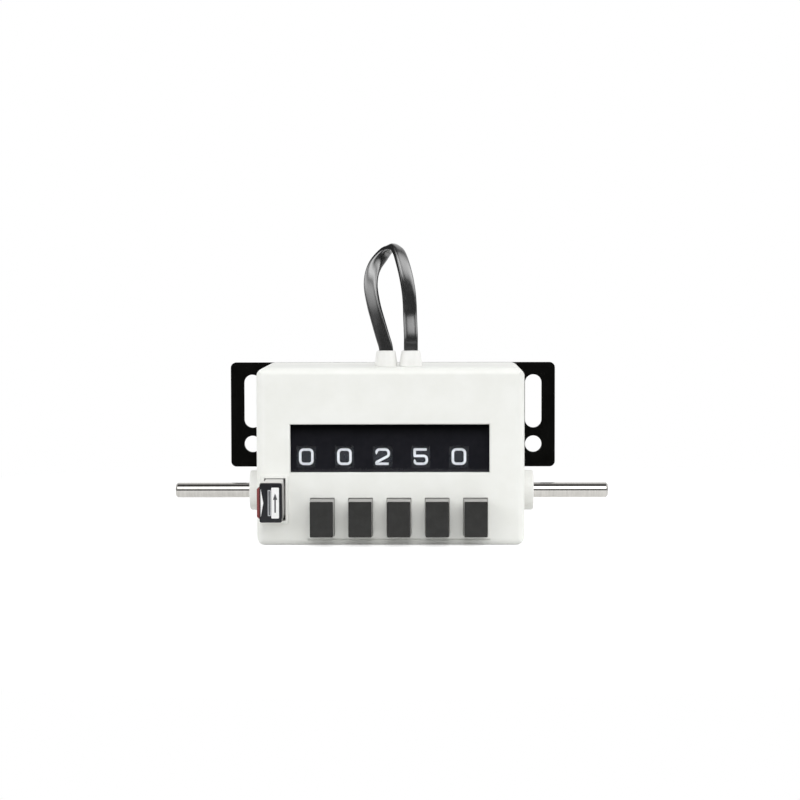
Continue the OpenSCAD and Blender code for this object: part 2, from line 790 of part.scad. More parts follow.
module drive_shaft() color([0.82, 0.83, 0.85]) {
    straight = shaft_len - 2 * shaft_tip;
    difference() {
        along_x(-straight / 2, straight) on_axis(0, shaft_z) circle(shaft_r);
        for (x = [-bush_x, bush_x - groove_w])
            along_x(x, groove_w) on_axis(0, shaft_z) ring(shaft_r + cut, shaft_r - groove_depth);
    }
    for (side = [0, 1]) mirror([side, 0, 0])
        translate([straight / 2, 0, shaft_z]) rotate([0, 90, 0])
            cylinder(shaft_tip, r1 = shaft_r, r2 = shaft_r - shaft_tip);
}

module stop_arm() color([0.6, 0.6, 0.62]) along_x(frame_out_x + stop_gap, stop_w)
    on_axis(0, shaft_z) difference() {
        union() {
            circle(stop_hub_r);
            rectangle([-stop_arm_w / 2, -stop_reach], [stop_arm_w / 2, 0]);
        }
        circle(shaft_r + seat_gap);
    }

module return_spring() color([0.65, 0.65, 0.67])
    translate([return_spring_x, 0, shaft_z])
        coil(return_spring_r, return_spring_wire, return_spring_turns, return_spring_len);

module drive_gear() color([0.85, 0.72, 0.35]) along_x(drive_x, drive_w) on_axis(0, shaft_z)
    difference() {
        rotate(drive_dir + 180) polygon(gear_points(drive_teeth, drive_pitch_r));
        circle(sleeve_r + seat_gap);
    }

// One-way sleeve in the drive gear
module clutch_sleeve() color([0.6, 0.6, 0.62]) along_x(drive_x - sleeve_left, sleeve_len)
    on_axis(0, shaft_z) ring(sleeve_r, shaft_r + run_gap);

module ratchet_outline() {
    polygon([for (t = [0 : 360 / digit_step - 1]) each [
        polar(ratchet_r, t * digit_step),
        polar(ratchet_r - ratchet_depth, t * digit_step + ratchet_slant)
    ]]);
}

// Carry disc with two teeth that move the next pinion once a turn
module carry_outline() {
    circle(carry_disc_r);
    for (a = [-1, 1]) rotate(a * digit_step / 4)
        rectangle([carry_disc_r / 2, -carry_tooth_w / 2], [ratchet_r, carry_tooth_w / 2]);
}

module figure_wheel(i) color([0.1, 0.1, 0.11]) difference() {
    turn = -shown[i] * digit_step;
    end_x = ratchet_x(i) + ratchet_w;
    union() {
        along_x(carry_x(i), carry_w + join) on_axis(wheel_y, figure_z)
            rotate(turn + pinion_rise + 180) carry_outline();
        along_x(figure_xs[i] - band_w / 2, band_w) on_axis(wheel_y, figure_z) circle(wheel_r);
        along_x(gear_x(i) - join, gear_w + join) on_axis(wheel_y, figure_z)
            rotate(pinion_rise) polygon(gear_points(wheel_teeth, wheel_gear_r));
        along_x(ratchet_x(i) - join, ratchet_w + join) on_axis(wheel_y, figure_z)
            rotate(180) ratchet_outline();
        if (i == last) {
            along_x(end_x - join, wheel_gap + 2 * join) on_axis(wheel_y, figure_z) circle(hub_r);
            along_x(drive_x, drive_w) on_axis(wheel_y, figure_z)
                rotate(drive_dir + 180 / drive_teeth) polygon(gear_points(drive_teeth, drive_pitch_r));
        }
    }
    along_x(carry_x(i) - cut, 2 * figure_pitch) on_axis(wheel_y, figure_z) circle(axle_r + run_gap);
    along_x(carry_x(i) - cut, carry_w + band_w - web_t + cut)
        on_axis(wheel_y, figure_z) ring(carry_disc_r - carry_rim, hub_r);
}

// Pinion between wheel i and the wheel on its right
module transfer_pinion(i) color([0.9, 0.88, 0.8])
    along_x(gear_x(i) + pinion_end_gap, figure_pitch - band_w - 2 * pinion_end_gap)
        on_axis(pinion_y, pinion_z) difference() {
            rotate(pinion_rise + 180 + 180 / pinion_teeth) polygon(gear_points(pinion_teeth, pinion_r));
            circle(pinion_axle_r + run_gap);
        }

// Side view of a key, open at its other sides, whose top rises from its front edge to the wall
module rising_top(front, top, rise) {
    steep = rise / (front_y - front);
    polygon([
        [front - cut, -cut],
        [front - cut, top - cut * steep],
        [front_y, top + rise],
        [panel_y, top + rise],
        [panel_y, -cut]
    ]);
}

// Preset key with its pawl finger, which also keeps it behind the wall, and its guide stem
module preset_key(i) color([0.21, 0.21, 0.21]) {
    x = key_xs[i];
    pawl_x = ratchet_x(i) + ratchet_w / 2 - pawl_w / 2;
    intersection() {
        along_y(key_front_y, key_back_y - key_front_y)
            rounded_rectangle(
                [x - key_w / 2, key_low_z], [x + key_w / 2, key_top_z + key_rise], key_corner_r
            );
        along_x(x - key_w, 2 * key_w) rising_top(key_front_y, key_top_z, key_rise);
    }
    translate([pawl_x, inner_front_y + pawl_gap, key_z])
        cube([pawl_w, key_shoulder - pawl_gap, pawl_top_z - key_z]);
    along_y(key_back_y, stem_len) translate([x, key_z]) circle(stem_r);
}

module key_spring(i) color([0.7, 0.7, 0.72])
    translate([key_xs[i], key_back_y + spring_end_gap, key_z]) rotate(90)
        coil(key_spring_r, key_spring_wire, key_spring_turns, key_spring_len - 2 * spring_end_gap);

// Reset key: a cap with a lip on the left, a block through the wall, a shoulder behind it and a stem
module reset_key() color([0.05, 0.05, 0.05]) {
    stem_x0 = reset_stem_x - reset_stem_w / 2;
    difference() {
        intersection() {
            union() {
                along_y(reset_front_y, reset_lip_d)
                    rounded_rectangle(
                        [reset_x0, reset_low_z], [reset_x1, reset_top_z + reset_rise], reset_corner_r
                    );
                along_y(reset_front_y + reset_corner_r, reset_back_y - reset_front_y - reset_corner_r)
                    rectangle([reset_block_x0, reset_low_z], [reset_x1, reset_top_z + reset_rise]);
            }
            along_x(reset_x0 - reset_w, 3 * reset_w) rising_top(reset_front_y, reset_top_z, reset_rise);
        }
        along_y(reset_front_y - cut, label_t + cut)
            rectangle(label_low - [seat_gap, seat_gap], label_high + [seat_gap, seat_gap]);
    }
    translate([reset_x1 - cut, inner_front_y + pawl_gap, reset_low_z + reset_shoulder])
        cube([reset_shoulder + cut, reset_back_y - inner_front_y - pawl_gap, reset_h - 2 * reset_shoulder]);
    translate([stem_x0, reset_back_y - cut, reset_stem_low_z])
        cube([reset_stem_w, reset_stem_back_y - reset_back_y + cut, reset_stem_top_z - reset_stem_low_z]);
    translate([stem_x0, reset_stem_back_y - cut, reset_stem_low_z])
        cube([reset_stem_w, reset_nose_y - reset_stem_back_y + cut, reset_nose_h]);
}

// Red strip along the left side of the reset key's cap
module reset_strip() color([0.5, 0.2, 0.2]) along_y(reset_front_y + strip_back, strip_t)
    polygon([
        [reset_x0, reset_z - strip_h / 2],
        [reset_x0, reset_z + strip_h / 2],
        [reset_x0 - strip_w, reset_z + strip_h / 2 - strip_chamfer],
        [reset_x0 - strip_w, reset_z - strip_h / 2 + strip_chamfer]
    ]);

// Corners of the label that lies in the reset key's face
label_low = [reset_x1 - label_inset - label_w, reset_z - label_h / 2];
label_high = [reset_x1 - label_inset, reset_z + label_h / 2];

module reset_label() color([0.95, 0.95, 0.95])
    along_y(reset_front_y, label_t) rectangle(label_low, label_high);

module reset_spring() color([0.7, 0.7, 0.72])
    translate([reset_stem_x, reset_back_y + spring_end_gap, reset_spring_z]) rotate(90)
        coil(
            reset_spring_r, reset_spring_wire, reset_spring_turns,
            lug_y - reset_back_y - 2 * spring_end_gap
        );

module reset_shaft() color([0.75, 0.75, 0.77])
    along_x(reset_stem_x - reset_stem_w / 2, frame_out_x + axle_end - reset_stem_x + reset_stem_w / 2)
        on_axis(reset_shaft_y, reset_shaft_z) circle(reset_shaft_r);

module reset_lever() color([0.6, 0.6, 0.62])
    along_x(reset_stem_x - reset_stem_w / 2, reset_stem_w)
        on_axis(reset_shaft_y, reset_shaft_z) difference() {
            union() {
                circle(reset_hub_r);
                rectangle([-reset_arm_w / 2, -reset_arm - reset_nose_h / 2], [reset_arm_w / 2, 0]);
            }
            circle(reset_shaft_r + seat_gap);
        }

// Comb of reset fingers, one to each wheel
module reset_comb() color([0.6, 0.6, 0.62]) difference() {
    union() {
        along_x(comb_x0, comb_x1 - comb_x0)
            on_axis(reset_shaft_y, reset_shaft_z) circle(reset_hub_r);
        for (i = [0 : last])
            along_x(ratchet_x(i) + ratchet_w / 2 - comb_w / 2, comb_w)
                on_axis(reset_shaft_y, reset_shaft_z) rotate(comb_dir)
                    rectangle([0, -comb_t / 2], [comb_reach, comb_t / 2]);
    }
    along_x(comb_x0 - cut, comb_x1 - comb_x0 + 2 * cut)
        on_axis(reset_shaft_y, reset_shaft_z) circle(reset_shaft_r + seat_gap);
}

// Trip bar over the wheels, with one feeler to each carry disc
module trip_bar() color([0.6, 0.6, 0.62]) difference() {
    union() {
        along_x(-trip_x, 2 * trip_x) {
            on_axis(trip_y, trip_z) circle(trip_hub_r);
            rectangle([trip_front_y, trip_z - trip_t / 2], [trip_y, trip_z + trip_t / 2]);
        }
        for (i = [0 : last])
            translate([carry_x(i) + carry_w / 2 - feeler_w / 2, trip_front_y, feeler_low_z])
                cube([feeler_w, feeler_t, trip_z - feeler_low_z]);
    }
    along_x(-trip_x - cut, 2 * (trip_x + cut)) on_axis(trip_y, trip_z) circle(trip_axle_r + run_gap);
}

module switch_bridge() color([0.72, 0.73, 0.75]) along_y(switch_back_y, bridge_t) difference() {
    rectangle([-frame_in_x, bridge_low_z], [frame_in_x, bridge_top_z]);
    for (side = [-1, 1])
        translate([switch_x + side * switch_screw_pitch / 2, switch_screw_z]) circle(screw_r + screw_gap);
}

module switch_body() color([0.15, 0.15, 0.16]) difference() {
    translate([switch_x - switch_l / 2, switch_back_y - switch_d, switch_z])
        cube([switch_l, switch_d, switch_h]);
    translate([switch_x, plunger_y, switch_z - cut])
        cylinder(2 * plunger_in + cut, r = plunger_r + run_gap);
    along_y(switch_back_y - switch_d - cut, switch_d + 2 * cut)
        for (side = [-1, 1])
            translate([switch_x + side * switch_screw_pitch / 2, switch_screw_z])
                circle(screw_r + screw_gap);
}

module switch_terminals() color([0.85, 0.72, 0.35]) for (side = [-1, 0, 1])
    translate([
        switch_x + side * terminal_pitch - terminal_w / 2,
        switch_back_y - switch_d - terminal_len,
        switch_z + terminal_rise
    ]) cube([terminal_w, terminal_len, terminal_t]);

module switch_screws() color([0.7, 0.7, 0.72]) for (side = [-1, 1])
    flush_screw_front(switch_x + side * switch_screw_pitch / 2);

// Screw through the switch into the bridge, with its head on the switch's front
module flush_screw_front(x) {
    along_y(switch_back_y - switch_d, switch_d + bridge_t) translate([x, switch_screw_z]) circle(screw_r);
    along_y(switch_back_y - switch_d - screw_head_h, screw_head_h)
        translate([x, switch_screw_z]) circle(screw_head_r);
}

module switch_plunger() color([0.8, 0.2, 0.15])
    translate([switch_x, plunger_y, trip_z + trip_t / 2 + plunger_gap])
        cylinder(switch_z + plunger_in - trip_z - trip_t / 2 - plunger_gap, r = plunger_r);

front_cover();
rear_cover();
mounting_plate();
cover_screws();
plate_screws();
window_lens();
window_mask();
mirror([1, 0, 0]) shaft_bush();  // left_shaft_bush
shaft_bush();  // right_shaft_bush
cable_gland(gland_xs[0]);  // left_cable_gland
cable_gland(gland_xs[1]);  // right_cable_gland
gland_nuts();
cable_loop();
left_side_frame();
right_side_frame();
tie_rods();
frame_screws();
wheel_axle();
pinion_axle();
key_guide();
trip_axle();
switch_bridge();
switch_body();
switch_terminals();
switch_screws();
stop_pins();
drive_shaft();
stop_arm();
return_spring();
drive_gear();
clutch_sleeve();
for (i = [0 : last]) figure_wheel(i);
for (i = [0 : last - 1])
    transfer_pinion(i);
for (i = [0 : last]) preset_key(i);
for (i = [0 : last]) key_spring(i);
reset_key();
reset_strip();
reset_label();
reset_spring();
reset_shaft();
reset_lever();
reset_comb();
trip_bar();
switch_plunger();
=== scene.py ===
"""Looks of a five figure stroke counter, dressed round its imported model.

Lengths are written in millimetres and go into the scene in metres; those of the floor and
the lamps are written in metres.
"""
import json
import math

import bmesh
import bpy
from mathutils import Matrix, Vector


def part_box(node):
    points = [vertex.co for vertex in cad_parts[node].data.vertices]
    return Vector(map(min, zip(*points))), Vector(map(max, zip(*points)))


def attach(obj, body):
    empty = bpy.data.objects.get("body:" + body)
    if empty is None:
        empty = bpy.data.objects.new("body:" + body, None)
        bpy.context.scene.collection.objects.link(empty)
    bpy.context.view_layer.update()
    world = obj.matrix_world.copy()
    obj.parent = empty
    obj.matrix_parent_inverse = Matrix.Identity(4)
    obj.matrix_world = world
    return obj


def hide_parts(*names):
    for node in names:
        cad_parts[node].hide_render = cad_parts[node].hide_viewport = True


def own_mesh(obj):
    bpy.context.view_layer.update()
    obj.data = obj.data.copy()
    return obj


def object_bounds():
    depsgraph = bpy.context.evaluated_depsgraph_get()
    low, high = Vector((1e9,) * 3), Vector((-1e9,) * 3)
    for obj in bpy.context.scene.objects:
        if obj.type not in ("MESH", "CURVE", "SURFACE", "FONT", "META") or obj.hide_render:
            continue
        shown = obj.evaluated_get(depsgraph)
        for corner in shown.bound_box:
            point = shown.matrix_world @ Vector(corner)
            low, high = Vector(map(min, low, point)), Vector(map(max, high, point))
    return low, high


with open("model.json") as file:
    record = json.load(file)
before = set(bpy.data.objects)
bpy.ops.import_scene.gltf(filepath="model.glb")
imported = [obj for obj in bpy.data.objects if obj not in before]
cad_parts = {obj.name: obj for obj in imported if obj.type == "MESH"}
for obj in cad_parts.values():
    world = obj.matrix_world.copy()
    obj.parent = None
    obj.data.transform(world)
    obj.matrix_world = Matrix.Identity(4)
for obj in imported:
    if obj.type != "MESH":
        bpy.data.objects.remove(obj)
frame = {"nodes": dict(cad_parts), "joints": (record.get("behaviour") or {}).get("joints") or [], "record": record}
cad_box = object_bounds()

MM = 0.001
scene = bpy.context.scene
nodes = frame["nodes"]
joints = {joint["name"]: joint for joint in frame["joints"]}
mounts = {mount["name"]: mount for mount in frame["record"]["mounts"]}
slots = {part["node"]: part["material_slot"] for part in frame["record"]["subparts"]}

# Camera
CAMERA_SPOT = (10.5, -619.0, 69.8)
CAMERA_TILT = 3.03
CAMERA_PAN = 0.76
CAMERA_ROLL = -0.12
CAMERA_LENS = 103.85
SENSOR_W = 36.0

# Cable, with the route that the model has: X, Y, Z and the turn of its wide face
CABLE_W = 3.7
CABLE_T = 1.76
CABLE_POWER = 3.4
CABLE_SIDES = 48
CABLE_RIM = 0.88
CABLE_ROUTE = (
    (-1.3, -8, 45, 0), (-1.3, -8, 48, 0), (-1.3, -8, 51.2, 0), (-2.2, -7.9, 54.4, -8),
    (-3.3, -7.7, 58.2, -18), (-4.5, -7.2, 62.6, -22), (-5.3, -6.3, 67.2, -16),
    (-5.1, -5.2, 70.6, -4), (-4.1, -4, 73.3, 10), (-2.2, -2.7, 75.8, 36),
    (-0.8, -2.3, 77.2, 62), (0.6, -2.7, 78.1, 92), (2, -4.1, 76.8, 130),
    (3, -5.6, 74.2, 147), (4, -6.8, 70.4, 158), (4.7, -7.2, 66.4, 168), (5, -7.2, 63, 175),
    (5.1, -7.2, 59.8, 178), (5.3, -8.1, 54.6, 180), (5.3, -8.1, 52.2, 180), (5.3, -8, 50, 180),
    (5.3, -8, 47.5, 180), (5.3, -8, 45, 180),
)
CABLE_RINGS_PER_SPAN = 8

# Meshes
WELD = 0.0005
LEAST_CORNER = 0.05
BLOCK_TURN = 15.0
MITRE_LIMIT = 0.6
ROUND_SMOOTH = 60.0

# Springs
SPRING_SIDES = 8
SPRING_STEPS = 16
KEY_SPRING_WIRE = 0.45
KEY_SPRING_TURNS = 6
RESET_SPRING_WIRE = 0.4
RESET_SPRING_TURNS = 7

# Keys
KEY_COUNT = 5
KEY_H = 9.2
KEY_D = 9.5
KEY_CORNER = 0.25
KEY_EDGE = 0.14
KEY_OUT = 6.0
KEY_RISE = 0.33
KEY_FLARE = 0.12
KEY_FACE_D = 0.5
PAWL_W = 1.0
PAWL_SHIFT = 0.4
PAWL_LOW = 4.6
PAWL_FRONT = 8.1
PAWL_CORNER = 0.1
STEM_R = 1.2
STEM_LAP = 1.0
STEM_CHAMFER = 0.3
ROD_SIDES = 32

# Reset key
RESET_FACE_BACK = 0.05
RESET_MARK = 0.02
RESET_CORNER = 0.5
RESET_EDGE = 0.22
RESET_CAP_D = 3.4
RESET_CAP_W = 5.75
RESET_CAP_H = 10.2
RESET_INSET = 0.5
RESET_BLOCK_LEFT = 0.95
RESET_BLOCK_CORNER = 0.3
RESET_STOP_LAP = 1.0
RESET_STOP_INSET = 1.0
RESET_STOP_D = 1.9
RESET_STOP_CORNER = 0.2
RESET_STEM_X = (1.2, 3.4)
RESET_STEM_H = 4.2
RESET_STEM_END = 2.0
RESET_STEM_LAP = 0.2
RESET_STEM_CORNER = 0.15
RESET_TAIL_H = 1.0
RESET_OUT = 8.0
RESET_RISE = 0.45
RESET_FACE_D = 0.7
RESET_BLOCK_BACK = 12.0
MARK_SINK = 0.1
MARK_EDGE = 0.005
TRIANGLE_LEFT = 0.3
TRIANGLE_W = 0.7
TRIANGLE_H = 7.4
BRACKET_W = 0.75
BRACKET_H = 6.7
BRACKET_LINE = 0.22
BRACKET_GAP = 0.15
BRACKET_CORNERS = (0.12, 0.06)
LABEL_CORNER = 0.25
LABEL_EDGE = 0.02
ARROW_H = 5.0
ARROW_W = 1.1
ARROW_HEAD = 1.5
ARROW_LINE = 0.17
ARROW_EDGE = 0.004

# Figures on the wheels
FIGURES_SHOWN = (0, 0, 2, 5, 0)
FIGURES_ROUND = 10
FIGURE_W = 3.85
FIGURE_H = 4.45
FIGURE_STROKE = 0.67
FIGURE_PAINT = 0.05
FIGURE_STEP = 0.5

# Round pieces
SHAFT_CHAMFER = 0.4
GROOVE_X = (37.2, 38.0)
GROOVE_DEPTH = 0.3
BUSH_FLANGE = 3.0
BUSH_BORE_R = 2.05
BUSH_NECK_R = 3.4
BUSH_EDGE = 0.55
BUSH_BORE_EDGE = 0.2
BUSH_SEAT_EDGE = 0.15
GLAND_SIDES = 96
GLAND_COLLAR = 4.2
GLAND_BASE_H = 0.9
GLAND_BASE_EDGE = 0.12
GLAND_SHOULDER = 0.2
GLAND_NECK_R = 2.6
GLAND_TOP_R = 2.5
GLAND_EDGE = 0.45
GLAND_SLOT = (1.93, 0.98)
GLAND_SLOT_DEPTH = 1.2
GLAND_SLOT_POWER = 6

# Plate and screws
PLATE_CORNER = 1.5
PLATE_EDGE = 0.16
PLATE_SLOT_LEN = 14.8
PLATE_SLOT_TRIM = 0.01
SCREW_HEAD_R = 2.0
SCREW_HEAD_H = 0.9
SCREW_SHANK_R = 1.1
SCREW_CROSS = (1.25, 0.34)
SCREW_EDGE = 0.07
SCREW_NECK = ((0.05, 0.1), (-0.3, 0.4))
SCREW_NECK_LEN = 0.9
SCREW_POINT = 0.4
PLATE_SCREW_SEAT = 2.15

# Materials: ranges of the noise, of the softened edges and of the painted edge highlight, and the lens
PATCH_RANGE = (0.35, 0.65)
GLOSS_RANGE = (0.3, 0.7)
GLOSS_PATCH = 0.4
RIM_RANGE = (0.995, 0.8)
HIGHLIGHT_PATCH_RANGE = (0.4, 0.7)
FINE_DETAIL = 5.0
NOISE_ROUGHNESS = 0.6
BEVEL_SAMPLES = 6
LENS_PATCH = 6.0
LENS_HAZE = (0.35, 0.7, 0.0, 0.03)

# Floor, in metres
FLOOR_COLOUR = (0.8, 0.8, 0.8, 1.0)
FLOOR_GLOW = 0.55
FLOOR_FADE = (0.07, 0.24)
FLOOR_R = 0.26

# World: the two ends of a range of a direction, and the levels at them
WORLD_OVERHEAD = (0.4, 0.8, 1.0, 0.4)
WORLD_FRONT = (-0.3, 0.4, 0.08, 0.6)
WORLD_BEHIND = (0.2, 0.5)

# Lamps, in metres: name, watts, width, height, distance, and the angles around and above in degrees
LAMP_TARGET = (0, 0, 0.025)
LAMP_MIDDLE = 1.6
LAMP_FADE = (0.15, 0.65)
LAMPS = (
    ("front_softbox", 8.0, 0.95, 1.15, 1.25, 5.0, 40.0),
    ("right_softbox", 7.2, 1.2, 0.95, 1.0, 69.0, 34.0),
    ("left_softbox", 6.6, 1.5, 0.95, 1.0, -60.0, 27.0),
)


def box_mm(node):
    """A node's lowest and highest corners in millimetres."""
    low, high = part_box(node)
    return low / MM, high / MM


def pivot_mm(joint):
    """A hinge's place in millimetres."""
    return Vector(joints[joint]["pos_m"]) / MM


def seen(red, green, blue):
    """A colour written as it is seen, from 0 to 255, turned into linear light."""
    def linear(value):
        share = value / 255
        return share / 12.92 if share <= 0.04045 else ((share + 0.055) / 1.055) ** 2.4
    return (linear(red), linear(green), linear(blue), 1.0)


# Mesh helpers, all in millimetres

def rounded_path(corners, closed=False, turn=9.0):
    """Points of a path whose corners are arcs; a corner is x, y and the radius of its arc."""
    points = []
    count = len(corners)
    for index, (x, y, radius) in enumerate(corners):
        corner = Vector((x, y))
        if radius <= 0 or not (closed or 0 < index < count - 1):
            points.append(corner)
            continue
        before = (Vector(corners[index - 1][:2]) - corner).normalized()
        after = (Vector(corners[(index + 1) % count][:2]) - corner).normalized()
        half = before.angle(after) / 2
        centre = corner + (before + after).normalized() * radius / math.sin(half)
        first = corner + before * radius / math.tan(half) - centre
        last = corner + after * radius / math.tan(half) - centre
        start = math.atan2(first.y, first.x)
        sweep = math.atan2(first.x * last.y - first.y * last.x, first.dot(last))
        steps = max(2, math.ceil(abs(math.degrees(sweep)) / turn - 0.01))
        for step in range(steps + 1):
            angle = start + sweep * step / steps
            points.append(centre + radius * Vector((math.cos(angle), math.sin(angle))))
    return points


def rectangle(low_x, high_x, low_y, high_y, radius, turn=9.0):
    """A closed rectangle with round corners."""
    return rounded_path(
        [(low_x, low_y, radius), (high_x, low_y, radius), (high_x, high_y, radius), (low_x, high_y, radius)],
        True, turn)


def circle(x, y, radius, count=48):
    """A closed circle."""
    turns = [2 * math.pi * step / count for step in range(count)]
    return [Vector((x + radius * math.cos(turn), y + radius * math.sin(turn))) for turn in turns]


def loft(bm, rings, closed=False):
    """Skins a row of rings that have as many points each; an open row gets end faces."""
    made = [[bm.verts.new(point) for point in ring] for ring in rings]
    pairs = list(zip(made, made[1:]))
    if closed:
        pairs.append((made[-1], made[0]))
    count = len(made[0])
    for one, two in pairs:
        for step in range(count):
            after = (step + 1) % count
            bm.faces.new((one[step], one[after], two[after], two[step]))
    if not closed:
        bm.faces.new(made[0])
        bm.faces.new(made[-1])


def rim_steps(edge, count=4):
    """Inset and depth of the rings that round off a rim, from its face inwards."""
    angles = [math.pi / 2 * step / count for step in range(count + 1)]
    return [(edge * (1 - math.sin(angle)), edge * (1 - math.cos(angle))) for angle in angles]


def block(bm, low, high, corner, front=0.0, back=0.0, cap=0.0, rise=0.0, flare=0.0, run=1.0):
    """A block that is round in its corners seen along Y, with rounded front and back rims.

    Its top may rise and its sides flare towards the back, over a run of its depth; a ring goes round its cap.
    """
    def ring(y, inset):
        radius = max(corner - inset, LEAST_CORNER)
        share = min((y - low[1]) / run, 1.0)
        side = inset - flare * share
        outline = rectangle(
            low[0] + side, high[0] - side, low[2] + inset, high[2] + rise * share - inset,
            radius, BLOCK_TURN)
        return [(x, y, z) for x, z in outline]
    rings = []
    if front:
        rings += [ring(low[1] + depth, inset) for inset, depth in rim_steps(front)]
    else:
        rings.append(ring(low[1], 0.0))
    if cap:
        rings.append(ring(low[1] + cap, 0.0))
    if rise and low[1] + run < high[1]:
        rings.append(ring(low[1] + run, 0.0))
    if back:
        rings += [ring(high[1] - depth, inset) for inset, depth in reversed(rim_steps(back))]
    else:
        rings.append(ring(high[1], 0.0))
    loft(bm, rings)


def lathe(bm, profile, spot, axis, closed=False, count=96):
    """Turns a profile of (along, radius) round an axis through a spot."""
    spot = Vector(spot)
    rings = []
    for along, radius in profile:
        ring = []
        for step in range(count):
            angle = 2 * math.pi * step / count
            one, two = radius * math.cos(angle), radius * math.sin(angle)
            place = {"X": (along, one, two), "Y": (one, along, two), "Z": (one, two, along)}[axis]
            ring.append(spot + Vector(place))
        rings.append(ring)
    loft(bm, rings, closed)


def sheet(bm, outlines, low_y, high_y, edge):
    """A sheet across Y, cut to the first outline with the others as holes, and rounded along its rims."""
    curve = bpy.data.curves.new("outline", "CURVE")
    curve.dimensions = "2D"
    curve.fill_mode = "BOTH"
    curve.offset = -edge
    curve.bevel_depth = edge
    curve.bevel_resolution = 2
    curve.extrude = (high_y - low_y) / 2 - edge
    for outline in outlines:
        spline = curve.splines.new("POLY")
        spline.points.add(len(outline) - 1)
        for point, (x, z) in zip(spline.points, outline):
            point.co = (x, z, 0.0, 1.0)
        spline.use_cyclic_u = True
    holder = bpy.data.objects.new("outline", curve)
    scene.collection.objects.link(holder)
    bpy.context.view_layer.update()
    mesh = bpy.data.meshes.new_from_object(holder.evaluated_get(bpy.context.evaluated_depsgraph_get()))
    mesh.transform(Matrix.Translation((0, (low_y + high_y) / 2, 0)) @ Matrix.Rotation(math.pi / 2, 4, "X"))
    bm.from_mesh(mesh)
    bpy.data.objects.remove(holder)
    bpy.data.curves.remove(curve)
    bpy.data.meshes.remove(mesh)


def evened(points, step, closed):
    """The same path with points no further apart than a step."""
    ends = points[1:] + ([points[0]] if closed else [])
    result = []
    for one, two in zip(points, ends):
        parts = max(1, math.ceil((two - one).length / step))
        result += [one.lerp(two, part / parts) for part in range(parts)]
    return result if closed else result + [points[-1]]


def stroke_sides(points, width, closed):
    """The left and right side of a flat stroke along a path."""
    count = len(points)
    sides = []
    for index, point in enumerate(points):
        before = points[index - 1] if closed or index else None
        after = points[(index + 1) % count] if closed or index < count - 1 else None
        one = (point - before).normalized() if before is not None else None
        two = (after - point).normalized() if after is not None else None
        one, two = one or two, two or one
        mean = (one + two).normalized()
        normal = Vector((-mean.y, mean.x))
        reach = width / 2 / max(normal.dot(Vector((-one.y, one.x))), MITRE_LIMIT)
        sides.append((point + normal * reach, point - normal * reach))
    return sides


def add_piece(name, bm, carrier, material, stands_for=(), smooth=35.0, behind=None):
    """Makes a mesh in millimetres into a piece that rides on a carrier.

    Its faces behind a depth may have a second material, which on the keys is a lighter painted sheen on their tops
    and sides.
    """
    bmesh.ops.remove_doubles(bm, verts=bm.verts, dist=WELD)
    bmesh.ops.recalc_face_normals(bm, faces=bm.faces)
    bmesh.ops.scale(bm, vec=(MM, MM, MM), verts=bm.verts)
    mesh = bpy.data.meshes.new(name)
    bm.to_mesh(mesh)
    bm.free()
    mesh.polygons.foreach_set("use_smooth", [True] * len(mesh.polygons))
    mesh.set_sharp_from_angle(angle=math.radians(smooth))
    mesh.materials.append(material)
    if behind:
        depth, finish = behind
        mesh.materials.append(finish)
        for polygon in mesh.polygons:
            polygon.material_index = int(polygon.center.y > depth * MM)
    piece = bpy.data.objects.new(name, mesh)
    scene.collection.objects.link(piece)
    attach(piece, carrier)
    if stands_for:
        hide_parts(*stands_for)
    return piece


# Camera

def add_camera():
    """The camera at the photograph's viewing angle."""
    data = bpy.data.cameras.new("camera")
    data.lens = CAMERA_LENS
    data.sensor_width = SENSOR_W
    data.clip_start = 0.01
    data.clip_end = 50.0
    camera = bpy.data.objects.new("camera", data)
    camera.matrix_world = (
        Matrix.Translation(Vector(CAMERA_SPOT) * MM)
        @ Matrix.Rotation(math.radians(CAMERA_PAN), 4, "Z")
        @ Matrix.Rotation(math.radians(90 - CAMERA_TILT), 4, "X")
        @ Matrix.Rotation(math.radians(CAMERA_ROLL), 4, "Z"))
    scene.collection.objects.link(camera)
    scene.camera = camera


# Materials

def put(tree, kind, inputs=None, **settings):
    """Adds a node; each input gets a value or the output that feeds it."""
    node = tree.nodes.new(kind)
    for name, value in settings.items():
        setattr(node, name, value)
    for key, value in (inputs or {}).items():
        if isinstance(value, bpy.types.NodeSocket):
            tree.links.new(value, node.inputs[key])
        else:
            node.inputs[key].default_value = value
    return node


def spread(tree, value, low, high, to_low=0.0, to_high=1.0):
    """Maps a range of a value to another range, clamped at both ends."""
    return put(tree, "ShaderNodeMapRange", {
        "Value": value, "From Min": low, "From Max": high, "To Min": to_low, "To Max": to_high,
    }).outputs["Result"]


def reckon(tree, operation, one, two):
    """The result of an operation on two values; each is a number or an output."""
    return put(tree, "ShaderNodeMath", {0: one, 1: two}, operation=operation).outputs["Value"]


def blend_colours(tree, share, one, two):
    """A mix of two colours; each is a value or an output."""
    node = put(tree, "ShaderNodeMix", data_type="RGBA")
    for socket, value in ((node.inputs[0], share), (node.inputs[6], one), (node.inputs[7], two)):
        if isinstance(value, bpy.types.NodeSocket):
            tree.links.new(value, socket)
        else:
            socket.default_value = value
    return node.outputs[2]


def noise(tree, place, size, detail=3.0):
    """Noise whose features are about a size in millimetres."""
    return put(tree, "ShaderNodeTexNoise", {
        "Vector": place, "Scale": 1 / (size * MM), "Detail": detail, "Roughness": NOISE_ROUGHNESS,
    }).outputs["Fac"]


